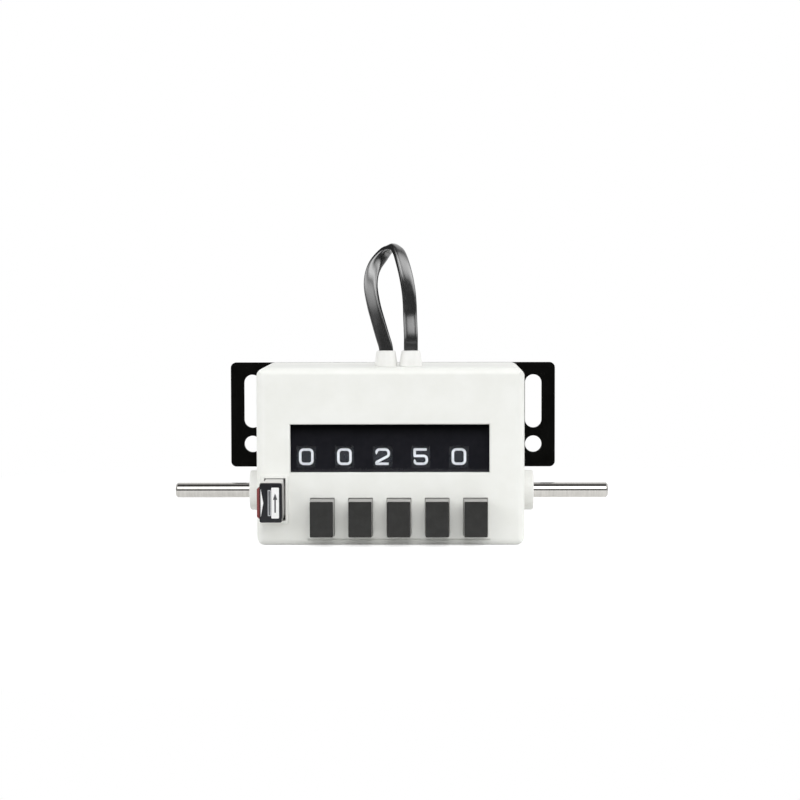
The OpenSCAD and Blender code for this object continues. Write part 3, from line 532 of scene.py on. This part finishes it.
def surface(name, dark, light, patch, rough, grain, height, stretch=(1, 1, 1), edge=0.0, painted_edge_highlight=None, **shader):
    """A material with mottled colour, uneven gloss, fine relief, softened edges and a painted highlight along its
    edges.

    patch and grain are sizes and height is the relief's depth, in millimetres.
    """
    material = bpy.data.materials.new(name)
    material.use_nodes = True
    tree = material.node_tree
    tree.nodes.clear()
    place = put(tree, "ShaderNodeTexCoord").outputs["Object"]
    place = put(tree, "ShaderNodeMapping", {"Vector": place, "Scale": stretch}).outputs["Vector"]
    patches = noise(tree, place, patch)
    fine = noise(tree, place, grain, FINE_DETAIL)
    colour = blend_colours(tree, spread(tree, patches, *PATCH_RANGE), dark, light)
    relief = put(tree, "ShaderNodeBump", {"Height": fine, "Distance": height * MM, "Strength": 1.0})
    if edge:
        bevel = put(tree, "ShaderNodeBevel", {"Radius": edge * MM}, samples=BEVEL_SAMPLES).outputs["Normal"]
        tree.links.new(bevel, relief.inputs["Normal"])
        # Lightens the rims, in patches, towards a given colour: a painted highlight along the edges.
        if painted_edge_highlight:
            flat = put(tree, "ShaderNodeNewGeometry").outputs["Normal"]
            along = put(tree, "ShaderNodeVectorMath", {0: bevel, 1: flat}, operation="DOT_PRODUCT")
            rim = spread(tree, along.outputs["Value"], *RIM_RANGE)
            highlight_share = spread(tree, patches, *HIGHLIGHT_PATCH_RANGE)
            colour = blend_colours(tree, reckon(tree, "MULTIPLY", rim, highlight_share), colour, painted_edge_highlight)
    principled = put(tree, "ShaderNodeBsdfPrincipled", {
        "Base Color": colour,
        "Roughness": spread(tree, noise(tree, place, patch * GLOSS_PATCH), *GLOSS_RANGE, *rough),
        "Normal": relief.outputs["Normal"],
        **shader,
    })
    put(tree, "ShaderNodeOutputMaterial", {"Surface": principled.outputs["BSDF"]})
    return material


def make_materials():
    """One material for each slot of the record, and those that only the looks have."""
    steel = {"Metallic": 1.0}
    return {
        "housing_white": surface(
            "moulded_white", seen(239, 240, 235), seen(243, 244, 240), 9.0, (0.36, 0.46), 0.3, 0.002,
            edge=0.25, **{"IOR": 1.45}),
        "cover_grey": surface(
            "moulded_cover", seen(229, 229, 225), seen(234, 234, 231), 8.0, (0.4, 0.5), 0.35, 0.006,
            edge=0.25),
        # The plate's edges are lightened towards a grey: a painted highlight.
        "plate_black": surface(
            "black_paint", seen(5, 5, 4), seen(9, 9, 8), 5.0, (0.38, 0.5), 0.5, 0.006,
            edge=0.2, painted_edge_highlight=seen(46, 44, 42), **{"Specular IOR Level": 0.04}),
        "screw_steel": surface(
            "zinc", seen(188, 188, 184), seen(206, 205, 202), 0.8, (0.24, 0.38), 0.12, 0.002,
            edge=0.08, **steel),
        # The mask's edges, round its openings too, are lightened towards a grey: a painted highlight.
        "mask_black": surface(
            "black_sheet", seen(42, 42, 50), seen(48, 48, 56), 3.0, (0.55, 0.7), 0.15, 0.001, edge=0.1,
            painted_edge_highlight=seen(74, 74, 78), **{"Specular IOR Level": 0.15}),
        "bush_white": surface(
            "bearing_white", seen(233, 233, 229), seen(239, 239, 236), 3.0, (0.34, 0.44), 0.25, 0.003),
        "gland_white": surface(
            "gland_white", seen(234, 234, 231), seen(240, 240, 238), 3.0, (0.3, 0.4), 0.25, 0.003),
        "cable_black": surface(
            "cable_sheath", seen(9, 10, 10), seen(13, 14, 14), 2.5, (0.4, 0.5), 0.5, 0.002,
            stretch=(1, 1, 0.25), **{
                "Specular IOR Level": 0.1, "Coat Weight": 1.0, "Coat IOR": 2.3, "Coat Roughness": 0.2}),
        "cable_rim": surface(
            "cable_rim", seen(22, 23, 23), seen(30, 31, 31), 2.5, (0.5, 0.6), 0.5, 0.003,
            stretch=(1, 1, 0.25), **{"Specular IOR Level": 0.1}),
        "frame_steel": surface(
            "zinc_sheet", seen(180, 182, 184), seen(200, 201, 202), 2.5, (0.28, 0.42), 0.2, 0.002,
            edge=0.1, **steel),
        "rod_steel": surface(
            "drawn_rod", seen(178, 178, 180), seen(196, 196, 198), 1.2, (0.25, 0.35), 0.1, 0.001,
            stretch=(0.1, 1, 1), **steel),
        "guide_tan": surface(
            "laminate", seen(170, 152, 118), seen(190, 172, 138), 1.5, (0.45, 0.6), 0.2, 0.004, edge=0.1),
        "switch_black": surface(
            "switch_moulding", seen(34, 34, 37), seen(44, 44, 47), 2.0, (0.4, 0.55), 0.2, 0.004, edge=0.12),
        "gear_brass": surface(
            "cut_brass", seen(205, 172, 98), seen(222, 190, 116), 1.2, (0.25, 0.4), 0.12, 0.002,
            edge=0.06, **steel),
        "shaft_steel": surface(
            "ground_steel", seen(180, 178, 174), seen(190, 188, 184), 1.5, (0.06, 0.1), 0.06, 0.0002,
            stretch=(3, 0.3, 0.3), **steel),
        "lever_steel": surface(
            "stamped_steel", seen(172, 172, 174), seen(192, 192, 194), 2.0, (0.3, 0.45), 0.2, 0.002,
            edge=0.1, **steel),
        "spring_steel": surface(
            "spring_wire", seen(160, 160, 164), seen(184, 184, 188), 0.8, (0.22, 0.34), 0.1, 0.001, **steel),
        "wheel_black": surface(
            "wheel_plastic", seen(25, 28, 35), seen(30, 33, 40), 2.0, (0.4, 0.5), 0.2, 0.003, edge=0.08,
            **{"Specular IOR Level": 0.15}),
        "pinion_nylon": surface(
            "natural_nylon", seen(226, 222, 208), seen(236, 232, 220), 1.5, (0.4, 0.5), 0.2, 0.003,
            edge=0.06),
        "key_grey": surface(
            "key_plastic", seen(43, 43, 42), seen(49, 49, 48), 2.5, (0.36, 0.46), 0.22, 0.002,
            **{"Specular IOR Level": 0.2}),
        # The keys' tops and sides: a lighter grey than their faces, a painted sheen for the light they catch.
        "key_painted_sheen": surface(
            "key_painted_sheen", seen(156, 155, 153), seen(164, 163, 161), 2.5, (0.36, 0.46), 0.22, 0.002),
        # The reset key's top and sides: a near white grey, a painted sheen for the light they catch.
        "reset_painted_sheen": surface(
            "reset_painted_sheen", seen(212, 211, 208), seen(220, 219, 216), 2.5, (0.36, 0.46), 0.22, 0.002),
        "reset_black": surface(
            "reset_plastic", seen(17, 18, 23), seen(22, 23, 28), 2.5, (0.3, 0.4), 0.22, 0.001,
            **{"Specular IOR Level": 0.3}),
        "strip_red": surface(
            "red_plastic", seen(126, 54, 54), seen(138, 64, 62), 1.5, (0.35, 0.45), 0.2, 0.003, edge=0.12),
        "label_white": surface(
            "white_label", seen(236, 236, 236), seen(243, 243, 243), 1.5, (0.45, 0.55), 0.15, 0.002),
        "plunger_red": surface(
            "plunger_plastic", seen(176, 62, 48), seen(190, 72, 56), 1.0, (0.35, 0.45), 0.15, 0.003),
        "figure_paint": surface(
            "figure_paint", seen(228, 231, 234), seen(240, 242, 244), 0.8, (0.45, 0.6), 0.12, 0.003),
        "mark_grey": surface(
            "mark_grey", seen(176, 178, 182), seen(190, 192, 196), 0.8, (0.45, 0.55), 0.12, 0.002),
        "mark_dark": surface(
            "mark_dark", seen(58, 58, 62), seen(70, 70, 74), 0.8, (0.45, 0.55), 0.12, 0.002),
        "lens_clear": lens_material(),
    }


def lens_material():
    """Clear window plastic with a little uneven gloss."""
    material = bpy.data.materials.new("window_plastic")
    material.use_nodes = True
    tree = material.node_tree
    tree.nodes.clear()
    place = put(tree, "ShaderNodeTexCoord").outputs["Object"]
    haze = noise(tree, place, LENS_PATCH)
    principled = put(tree, "ShaderNodeBsdfPrincipled", {
        "Base Color": (0.97, 0.98, 1.0, 1.0),
        "Roughness": spread(tree, haze, *LENS_HAZE),
        "Transmission Weight": 1.0,
        "IOR": 1.3,
        "Specular IOR Level": 0.2,
    })
    put(tree, "ShaderNodeOutputMaterial", {"Surface": principled.outputs["BSDF"]})
    return material


# Pieces

def smooth_curve(route, steps):
    """Points of a smooth curve through a route, with as many steps in each span."""
    route = [Vector(point) for point in route]
    padded = [2 * route[0] - route[1]] + route + [2 * route[-1] - route[-2]]
    points = []
    for a, b, c, d in zip(padded, padded[1:], padded[2:], padded[3:]):
        for step in range(steps):
            t = step / steps
            points.append(0.5 * (
                2 * b + (c - a) * t + (2 * a - 5 * b + 4 * c - d) * t ** 2
                + (3 * b - a - 3 * c + d) * t ** 3))
    return points + [route[-1]]


def oval(width, thickness, power, count):
    """A closed oval with flattened sides."""
    points = []
    for step in range(count):
        turn = 2 * math.pi * (step + 0.5) / count
        across, deep = math.cos(turn), math.sin(turn)
        points.append(Vector((
            math.copysign(abs(across) ** (2 / power), across) * width / 2,
            math.copysign(abs(deep) ** (2 / power), deep) * thickness / 2)))
    return points


def add_cable(materials):
    """The loop of flat cable between the two glands, turned right over on its way through the top."""
    route = smooth_curve(CABLE_ROUTE, CABLE_RINGS_PER_SPAN)
    path = [point.xyz for point in route]
    section = oval(CABLE_W, CABLE_T, CABLE_POWER, CABLE_SIDES)
    rings = []
    last = len(path) - 1
    for index, point in enumerate(path):
        along = (path[min(index + 1, last)] - path[max(index - 1, 0)]).normalized()
        wide = Vector((0, 1, 0)).cross(along).normalized()
        wide = Matrix.Rotation(math.radians(route[index].w), 3, along) @ wide
        deep = along.cross(wide)
        rings.append([point + wide * x + deep * y for x, y in section])
    bm = bmesh.new()
    loft(bm, rings)
    cable = add_piece("cable", bm, "housing", materials["cable_black"], ["cable_loop"],
                      ROUND_SMOOTH)
    cable.data.materials.append(materials["cable_rim"])
    for polygon in cable.data.polygons:
        turn = 2 * math.pi * (polygon.index % CABLE_SIDES + 1) / CABLE_SIDES
        polygon.material_index = int(abs(math.cos(turn)) > CABLE_RIM)


def add_preset_keys(materials):
    """The five keys below the window, each with its pawl and stem."""
    for number in range(1, KEY_COUNT + 1):
        node = f"preset_key_{number}"
        low, high = box_mm(node)
        middle_x = (low.x + high.x) / 2
        bm = bmesh.new()
        top_z = low.z + KEY_H
        back_y = low.y + KEY_D
        block(bm, low, (high.x, back_y, top_z), KEY_CORNER, KEY_EDGE, cap=KEY_FACE_D,
              rise=KEY_RISE, flare=KEY_FLARE, run=KEY_OUT)
        pawl_x = middle_x + PAWL_SHIFT
        block(bm, (pawl_x - PAWL_W / 2, low.y + PAWL_FRONT, low.z + PAWL_LOW),
              (pawl_x + PAWL_W / 2, back_y, high.z), PAWL_CORNER)
        stem_z = low.z + KEY_H / 2
        stem = [(back_y - STEM_LAP, STEM_R), (high.y - STEM_CHAMFER, STEM_R), (high.y, STEM_R - STEM_CHAMFER)]
        lathe(bm, stem, (middle_x, 0, stem_z), "Y", count=ROD_SIDES)
        # Behind its face the key takes the lighter painted sheen.
        add_piece(f"key_{number}", bm, node, materials["key_grey"], [node],
                  behind=(low.y + KEY_FACE_D, materials["key_painted_sheen"]))


def add_reset_key(materials):
    """The reset key with its marks and its label."""
    low, high = box_mm("reset_key")
    label_low, label_high = box_mm("reset_label")
    front = label_low.y
    cap_z = label_low.z - (RESET_CAP_H - (label_high.z - label_low.z)) / 2
    cap_low = Vector((low.x, front + RESET_FACE_BACK, cap_z))
    cap_high = Vector((low.x + RESET_CAP_W, front + RESET_CAP_D, cap_low.z + RESET_CAP_H))
    back = front + RESET_BLOCK_BACK
    bm = bmesh.new()
    block(bm, cap_low, cap_high, RESET_CORNER, RESET_EDGE, cap=RESET_FACE_D, rise=RESET_RISE, run=RESET_OUT)
    block(bm, (cap_low.x + RESET_BLOCK_LEFT, front + RESET_FACE_D, cap_low.z + RESET_INSET),
          (cap_high.x, back, cap_high.z), RESET_BLOCK_CORNER, rise=RESET_RISE,
          run=RESET_OUT - RESET_FACE_D)
    block(bm, (cap_high.x - RESET_STOP_LAP, back - RESET_STOP_D, cap_low.z + RESET_STOP_INSET),
          (high.x, back, cap_high.z - RESET_STOP_INSET), RESET_STOP_CORNER)
    stem_left, stem_right = (cap_low.x + side for side in RESET_STEM_X)
    block(bm, (stem_left, back - RESET_STEM_LAP, low.z),
          (stem_right, RESET_STEM_END, low.z + RESET_STEM_H), RESET_STEM_CORNER)
    block(bm, (stem_left, RESET_STEM_END - RESET_STEM_LAP, low.z),
          (stem_right, high.y, low.z + RESET_TAIL_H), RESET_STEM_CORNER)
    # Behind its face the reset key takes the lighter painted sheen.
    add_piece("reset_button", bm, "reset_key", materials["reset_black"], ["reset_key"],
              behind=(cap_low.y + RESET_FACE_D, materials["reset_painted_sheen"]))

    mark_y = (front + RESET_FACE_BACK - RESET_MARK, cap_low.y + MARK_SINK)
    middle_z = (label_low.z + label_high.z) / 2
    bm = bmesh.new()
    left = cap_low.x + TRIANGLE_LEFT
    outline = [Vector((left, middle_z - TRIANGLE_H / 2)), Vector((left + TRIANGLE_W, middle_z)),
               Vector((left, middle_z + TRIANGLE_H / 2))]
    sheet(bm, [outline], *mark_y, MARK_EDGE)
    add_piece("reset_triangle", bm, "reset_key", materials["label_white"])

    bm = bmesh.new()
    right = label_low.x - BRACKET_GAP
    bottom, top = middle_z - BRACKET_H / 2, middle_z + BRACKET_H / 2
    outer = rectangle(right - BRACKET_W, right, bottom, top, BRACKET_CORNERS[0])
    inner = rectangle(right - BRACKET_W + BRACKET_LINE, right - BRACKET_LINE,
                      bottom + BRACKET_LINE, top - BRACKET_LINE, BRACKET_CORNERS[1])
    sheet(bm, [outer, inner], *mark_y, MARK_EDGE)
    add_piece("reset_bracket", bm, "reset_key", materials["mark_grey"])

    bm = bmesh.new()
    block(bm, (label_low.x, front + RESET_MARK, label_low.z), label_high, LABEL_CORNER, LABEL_EDGE)
    add_piece("label", bm, "reset_key", materials["label_white"], ["reset_label"])

    bm = bmesh.new()
    middle_x = (label_low.x + label_high.x) / 2
    tip = middle_z + ARROW_H / 2
    neck = tip - ARROW_HEAD * ARROW_W
    shaft = ARROW_W * ARROW_LINE
    arrow = [(middle_x - shaft, middle_z - ARROW_H / 2), (middle_x + shaft, middle_z - ARROW_H / 2),
             (middle_x + shaft, neck), (middle_x + ARROW_W / 2, neck), (middle_x, tip),
             (middle_x - ARROW_W / 2, neck), (middle_x - shaft, neck)]
    sheet(bm, [[Vector(point) for point in arrow]], front, front + MARK_SINK, ARROW_EDGE)
    add_piece("label_arrow", bm, "reset_key", materials["mark_dark"])


def add_spring(materials, node, wire, turns):
    """A coil spring as long as its part, carried by the housing."""
    low, high = box_mm(node)
    centre = (low + high) / 2
    length = high.y - low.y
    radius = (high.x - low.x - wire) / 2
    count = turns * SPRING_STEPS
    rings = []
    for step in range(count + 1):
        turn = 2 * math.pi * step / SPRING_STEPS
        along = low.y + wire / 2 + (length - wire) * step / count
        ring = []
        for side in range(SPRING_SIDES):
            around = 2 * math.pi * side / SPRING_SIDES
            reach = radius + wire / 2 * math.cos(around)
            ring.append((
                centre.x - reach * math.cos(turn),
                along + wire / 2 * math.sin(around),
                centre.z + reach * math.sin(turn)))
        rings.append(ring)
    bm = bmesh.new()
    loft(bm, rings)
    spring = add_piece(f"{node}_coil", bm, "housing", materials["spring_steel"], [node],
                       ROUND_SMOOTH)
    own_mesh(spring)


def add_springs(materials):
    """The springs behind the preset keys and the reset key."""
    for number in range(1, KEY_COUNT + 1):
        add_spring(materials, f"key_spring_{number}",
                   KEY_SPRING_WIRE, KEY_SPRING_TURNS)
    add_spring(materials, "reset_spring",
               RESET_SPRING_WIRE, RESET_SPRING_TURNS)


def figure_paths():
    """Stroke centre lines of the ten figures: lists of (corners, closed)."""
    a = (FIGURE_W - FIGURE_STROKE) / 2
    b = (FIGURE_H - FIGURE_STROKE) / 2
    six = [
        ([(a, b - 0.55, 0), (a, b, 0.7), (-a, b, 1.0), (-a, -b, 1.0), (a, -b, 0.9), (a, 0.15, 0.8),
          (-a, 0.15, 0)], False),
    ]
    return {
        0: [([(-a, -b, 0.95), (a, -b, 0.95), (a, b, 0.95), (-a, b, 0.95)], True)],
        1: [([(-0.75, b - 0.8, 0), (0.25, b, 0.05), (0.25, -b, 0)], False)],
        2: [([(-a, b - 0.75, 0), (-a, b, 0.8), (a, b, 0.9), (a, 0.25, 0.75), (-a, -b + 0.45, 0.35),
              (-a, -b, 0.05), (a, -b, 0)], False)],
        3: [([(-a, b - 0.6, 0), (-a, b, 0.7), (a, b, 0.85), (a, 0.1, 0.75), (-0.5, 0.1, 0)], False),
            ([(0.0, 0.1, 0), (a, 0.1, 0.75), (a, -b, 0.85), (-a, -b, 0.7), (-a, -b + 0.6, 0)], False)],
        4: [([(0.7, -b, 0), (0.7, b, 0.05), (-a, -0.65, 0.1), (a, -0.65, 0)], False)],
        5: [([(a, b, 0), (-a, b, 0.05), (-a, 0.2, 0.05), (a, 0.2, 0.85), (a, -b, 0.9), (-a, -b, 0.75),
              (-a, -b + 0.65, 0)], False)],
        6: six,
        7: [([(-a, b, 0), (a, b, 0.15), (-0.45, -b, 0)], False)],
        8: [([(-a, 0.1, 0.75), (a, 0.1, 0.75), (a, b, 0.75), (-a, b, 0.75)], True),
            ([(-a, -b, 0.85), (a, -b, 0.85), (a, 0.1, 0.85), (-a, 0.1, 0.85)], True)],
        9: [([(-x, -y, radius) for x, y, radius in corners], closed) for corners, closed in six],
    }


def add_figures(materials):
    """Painted figures, ten round each wheel, with the shown one in front."""
    paths = figure_paths()
    for number, shown in enumerate(FIGURES_SHOWN, 1):
        wheel = f"figure_wheel_{number}"
        centre = pivot_mm(f"{wheel}_turn")
        wheel_r = centre.y - box_mm(wheel)[0].y
        bm = bmesh.new()
        for figure in range(FIGURES_ROUND):
            start = math.radians(360 / FIGURES_ROUND * (figure - shown))
            for corners, closed in paths[figure]:
                points = evened(rounded_path(corners, closed), FIGURE_STEP, closed)
                rings = []
                for left, right in stroke_sides(points, FIGURE_STROKE, closed):
                    ring = []
                    for side, radius in ((left, wheel_r + FIGURE_PAINT), (right, wheel_r + FIGURE_PAINT),
                                         (right, wheel_r - FIGURE_PAINT), (left, wheel_r - FIGURE_PAINT)):
                        angle = start + side.y / wheel_r
                        ring.append((centre.x + side.x, centre.y - radius * math.cos(angle),
                                     centre.z + radius * math.sin(angle)))
                    rings.append(ring)
                loft(bm, rings, closed)
        add_piece(f"figures_{number}", bm, wheel, materials["figure_paint"])


def add_shaft(materials):
    """The ground shaft with its chamfered ends and ring grooves."""
    end = box_mm("drive_shaft")[1].x
    centre = pivot_mm("drive_shaft_rock")
    radius = mounts["shaft_right"]["dims"]["r_mm"]
    groove_r = radius - GROOVE_DEPTH
    inner, outer = GROOVE_X
    half = [(inner, radius), (inner, groove_r), (outer, groove_r), (outer, radius),
            (end - SHAFT_CHAMFER, radius), (end, radius - SHAFT_CHAMFER)]
    profile = [(-x, r) for x, r in reversed(half)] + half
    bm = bmesh.new()
    lathe(bm, profile, (0, centre.y, centre.z), "X")
    add_piece("shaft", bm, "drive_shaft", materials["shaft_steel"], ["drive_shaft"])


def add_bushes(materials):
    """The two white bosses that the shaft runs in."""
    centre = pivot_mm("drive_shaft_rock")
    for side, sign in (("left", -1), ("right", 1)):
        node = f"{side}_shaft_bush"
        low, high = box_mm(node)
        radius = (high.z - low.z) / 2
        outer = max(abs(low.x), abs(high.x))
        inner = min(abs(low.x), abs(high.x))
        seat = outer - BUSH_FLANGE
        profile = rounded_path([
            (inner, BUSH_BORE_R, 0), (outer, BUSH_BORE_R, BUSH_BORE_EDGE), (outer, radius, BUSH_EDGE),
            (seat, radius, BUSH_SEAT_EDGE), (seat, BUSH_NECK_R, 0), (inner, BUSH_NECK_R, 0)], True)
        bm = bmesh.new()
        lathe(bm, [(sign * x, r) for x, r in profile], (0, centre.y, centre.z), "X", True)
        add_piece(f"{side}_boss", bm, "housing", materials["bush_white"], [node])


def add_glands(materials):
    """The tapered cable glands, each with a slot that the cable goes into."""
    half_w, half_t = GLAND_SLOT
    turns = [2 * math.pi * step / GLAND_SIDES for step in range(GLAND_SIDES)]
    for side, (x, y) in (("left", CABLE_ROUTE[0][:2]), ("right", CABLE_ROUTE[-1][:2])):
        node = f"{side}_cable_gland"
        low, high = box_mm(node)
        base = high.z - GLAND_COLLAR
        base_r = (high.x - low.x) / 2
        profile = rounded_path([
            (low.z, 0.0, 0), (low.z, GLAND_NECK_R, 0), (base, GLAND_NECK_R, 0),
            (base, base_r, GLAND_BASE_EDGE), (base + GLAND_BASE_H, base_r, GLAND_SHOULDER),
            (high.z, GLAND_TOP_R, GLAND_EDGE), (high.z, 0.0, 0)])[1:-1]
        rings = []
        for z, radius in profile:
            rings.append([(x + radius * math.cos(turn), y + radius * math.sin(turn), z) for turn in turns])
        for z in (high.z, high.z - GLAND_SLOT_DEPTH):
            ring = []
            for turn in turns:
                across, deep = math.cos(turn), math.sin(turn)
                bulge = abs(across / half_w) ** GLAND_SLOT_POWER + abs(deep / half_t) ** GLAND_SLOT_POWER
                reach = bulge ** (-1 / GLAND_SLOT_POWER)
                ring.append((x + reach * across, y + reach * deep, z))
            rings.append(ring)
        bm = bmesh.new()
        loft(bm, rings)
        add_piece(f"{side}_gland", bm, "housing", materials["gland_white"], [node])


def add_plate(materials):
    """The mounting plate with its holes and slots."""
    low, high = box_mm("mounting_plate")
    pattern = mounts["mounting_holes"]
    hole_x = pattern["dims"]["spacing_x_mm"] / 2
    hole_r = pattern["dims"]["hole_r_mm"]
    hole_z = pattern["pos_m"][2] / MM
    slot_z = mounts["mounting_slots"]["pos_m"][2] / MM
    screw_low, screw_high = box_mm("plate_screws")
    screw_z = (screw_low.z + screw_high.z) / 2
    screw_x = screw_high.x - (screw_high.z - screw_low.z) / 2
    outlines = [rectangle(low.x, high.x, low.z, high.z, PLATE_CORNER)]
    for sign in (-1, 1):
        outlines.append(circle(sign * hole_x, hole_z, hole_r))
        outlines.append(rectangle(
            sign * hole_x - hole_r, sign * hole_x + hole_r,
            slot_z - PLATE_SLOT_LEN / 2, slot_z + PLATE_SLOT_LEN / 2, hole_r - PLATE_SLOT_TRIM))
        outlines.append(circle(sign * screw_x, screw_z, PLATE_SCREW_SEAT))
    bm = bmesh.new()
    sheet(bm, outlines, low.y, high.y, PLATE_EDGE)
    add_piece("plate", bm, "housing", materials["plate_black"], ["mounting_plate"])


def add_screws(materials):
    """Cross recessed screws in the back, their heads flush with what they hold."""
    reach, width = SCREW_CROSS
    cross = [(width, width), (width, reach), (-width, reach), (-width, width),
             (-reach, width), (-reach, -width), (-width, -width), (-width, -reach),
             (width, -reach), (width, -width), (reach, -width), (reach, width)]
    for node in ("cover_screws", "plate_screws", "frame_screws"):
        low, high = box_mm(node)
        bm = bmesh.new()
        inset = SCREW_HEAD_R
        seat = high.y - SCREW_HEAD_H
        one_row = high.z - low.z <= 3 * inset
        zs = [(low.z + high.z) / 2] if one_row else [low.z + inset, high.z - inset]
        shank = [(seat + SCREW_NECK[0][0], SCREW_HEAD_R - SCREW_NECK[0][1]),
                 (seat + SCREW_NECK[1][0], SCREW_HEAD_R - SCREW_NECK[1][1]),
                 (seat - SCREW_NECK_LEN, SCREW_SHANK_R), (low.y + SCREW_POINT, SCREW_SHANK_R),
                 (low.y, SCREW_SHANK_R - SCREW_POINT)]
        for x in (low.x + inset, high.x - inset):
            for z in zs:
                recess = [Vector((x + across, z + up)) for across, up in cross]
                sheet(bm, [circle(x, z, SCREW_HEAD_R), recess], seat, high.y, SCREW_EDGE)
                lathe(bm, shank, (x, 0, z), "Y", count=ROD_SIDES)
        add_piece(node.replace("screws", "bolts"), bm, "housing", materials["screw_steel"],
                  [node])


# Light and stage

def add_world():
    """A white studio: the camera sees white, the object a room that is darker overhead and in front."""
    world = bpy.data.worlds.new("studio")
    scene.world = world
    world.use_nodes = True
    tree = world.node_tree
    tree.nodes.clear()
    toward = put(tree, "ShaderNodeSeparateXYZ", {
        "Vector": put(tree, "ShaderNodeTexCoord").outputs["Generated"]})
    overhead = spread(tree, toward.outputs["Z"], *WORLD_OVERHEAD)
    front = spread(tree, toward.outputs["Y"], *WORLD_FRONT)
    level = reckon(tree, "MULTIPLY", overhead, front)
    room = put(tree, "ShaderNodeBackground", {"Color": (1, 1, 1, 1), "Strength": level})
    white = put(tree, "ShaderNodeBackground", {"Color": (1, 1, 1, 1), "Strength": 1.0})
    rays = put(tree, "ShaderNodeLightPath").outputs
    direct = reckon(tree, "LESS_THAN", rays["Diffuse Depth"], 0.5)
    through = reckon(tree, "MULTIPLY", rays["Is Transmission Ray"], direct)
    behind = spread(tree, toward.outputs["Y"], *WORLD_BEHIND)
    mirrored = reckon(tree, "MULTIPLY", rays["Is Glossy Ray"], behind)
    shown = reckon(tree, "MAXIMUM", rays["Is Camera Ray"], through)
    shown = reckon(tree, "MAXIMUM", shown, mirrored)
    mix = put(tree, "ShaderNodeMixShader", {
        "Fac": shown, 1: room.outputs["Background"], 2: white.outputs["Background"]})
    put(tree, "ShaderNodeOutputWorld", {"Surface": mix.outputs["Shader"]})


def add_floor():
    """A plain pale floor that keeps the object's shadow."""
    material = bpy.data.materials.new("floor_white")
    material.use_nodes = True
    tree = material.node_tree
    tree.nodes.clear()
    rays = put(tree, "ShaderNodeLightPath").outputs
    shown = reckon(tree, "MAXIMUM", rays["Is Camera Ray"], rays["Is Glossy Ray"])
    shown = reckon(tree, "MAXIMUM", shown, rays["Is Transmission Ray"])
    place = put(tree, "ShaderNodeTexCoord").outputs["Object"]
    distance = put(tree, "ShaderNodeVectorMath", {0: place}, operation="LENGTH").outputs["Value"]
    far = spread(tree, distance, *FLOOR_FADE)
    glow_level = spread(tree, far, 0.0, 1.0, FLOOR_GLOW, 1.0)
    strength = reckon(tree, "MULTIPLY", shown, glow_level)
    hidden = reckon(tree, "MULTIPLY", shown, far)
    plain = put(tree, "ShaderNodeBsdfDiffuse", {
        "Color": blend_colours(tree, hidden, FLOOR_COLOUR, (0, 0, 0, 1))})
    glow = put(tree, "ShaderNodeEmission", {"Color": (1, 1, 1, 1), "Strength": strength})
    both = put(tree, "ShaderNodeAddShader", {0: plain.outputs["BSDF"], 1: glow.outputs["Emission"]})
    put(tree, "ShaderNodeOutputMaterial", {"Surface": both.outputs["Shader"]})
    bm = bmesh.new()
    bmesh.ops.create_circle(bm, cap_ends=True, radius=FLOOR_R, segments=64)
    mesh = bpy.data.meshes.new("floor")
    bm.to_mesh(mesh)
    bm.free()
    mesh.materials.append(material)
    floor = bpy.data.objects.new("floor", mesh)
    floor.location.z = cad_box[0][2]
    scene.collection.objects.link(floor)


def add_lamp(name, power, width, height, distance, around, above):
    """A soft lamp that faces the object from an angle around it and above it, brightest in its middle."""
    data = bpy.data.lights.new(name, "AREA")
    data.shape = "RECTANGLE"
    data.size = width
    data.size_y = height
    data.energy = power
    lamp = bpy.data.objects.new(name, data)
    around, above = math.radians(around), math.radians(above)
    level = math.cos(above)
    toward = Vector((math.sin(around) * level, -math.cos(around) * level, math.sin(above)))
    lamp.location = Vector(LAMP_TARGET) + toward * distance
    lamp.rotation_euler = toward.to_track_quat("Z", "Y").to_euler()
    lamp.visible_camera = False
    data.use_nodes = True
    tree = data.node_tree
    tree.nodes.clear()
    spot = put(tree, "ShaderNodeNewGeometry").outputs["Parametric"]
    middle = put(tree, "ShaderNodeVectorMath", {0: spot, 1: (0.5, 0.5, 0.0)}, operation="DISTANCE")
    strength = spread(tree, middle.outputs["Value"], *LAMP_FADE, LAMP_MIDDLE, 0.0)
    glow = put(tree, "ShaderNodeEmission", {"Strength": strength})
    put(tree, "ShaderNodeOutputLight", {"Surface": glow.outputs["Emission"]})
    scene.collection.objects.link(lamp)


add_camera()
finishes = make_materials()
for name, node in nodes.items():
    node.data.materials.clear()
    node.data.materials.append(finishes[slots[name]])
nodes["window_lens"].visible_shadow = False
add_cable(finishes)
add_preset_keys(finishes)
add_reset_key(finishes)
add_springs(finishes)
add_figures(finishes)
add_shaft(finishes)
add_bushes(finishes)
add_glands(finishes)
add_plate(finishes)
add_screws(finishes)
add_world()
add_floor()
for lamp in LAMPS:
    add_lamp(*lamp)
scene.view_settings.view_transform = "Standard"
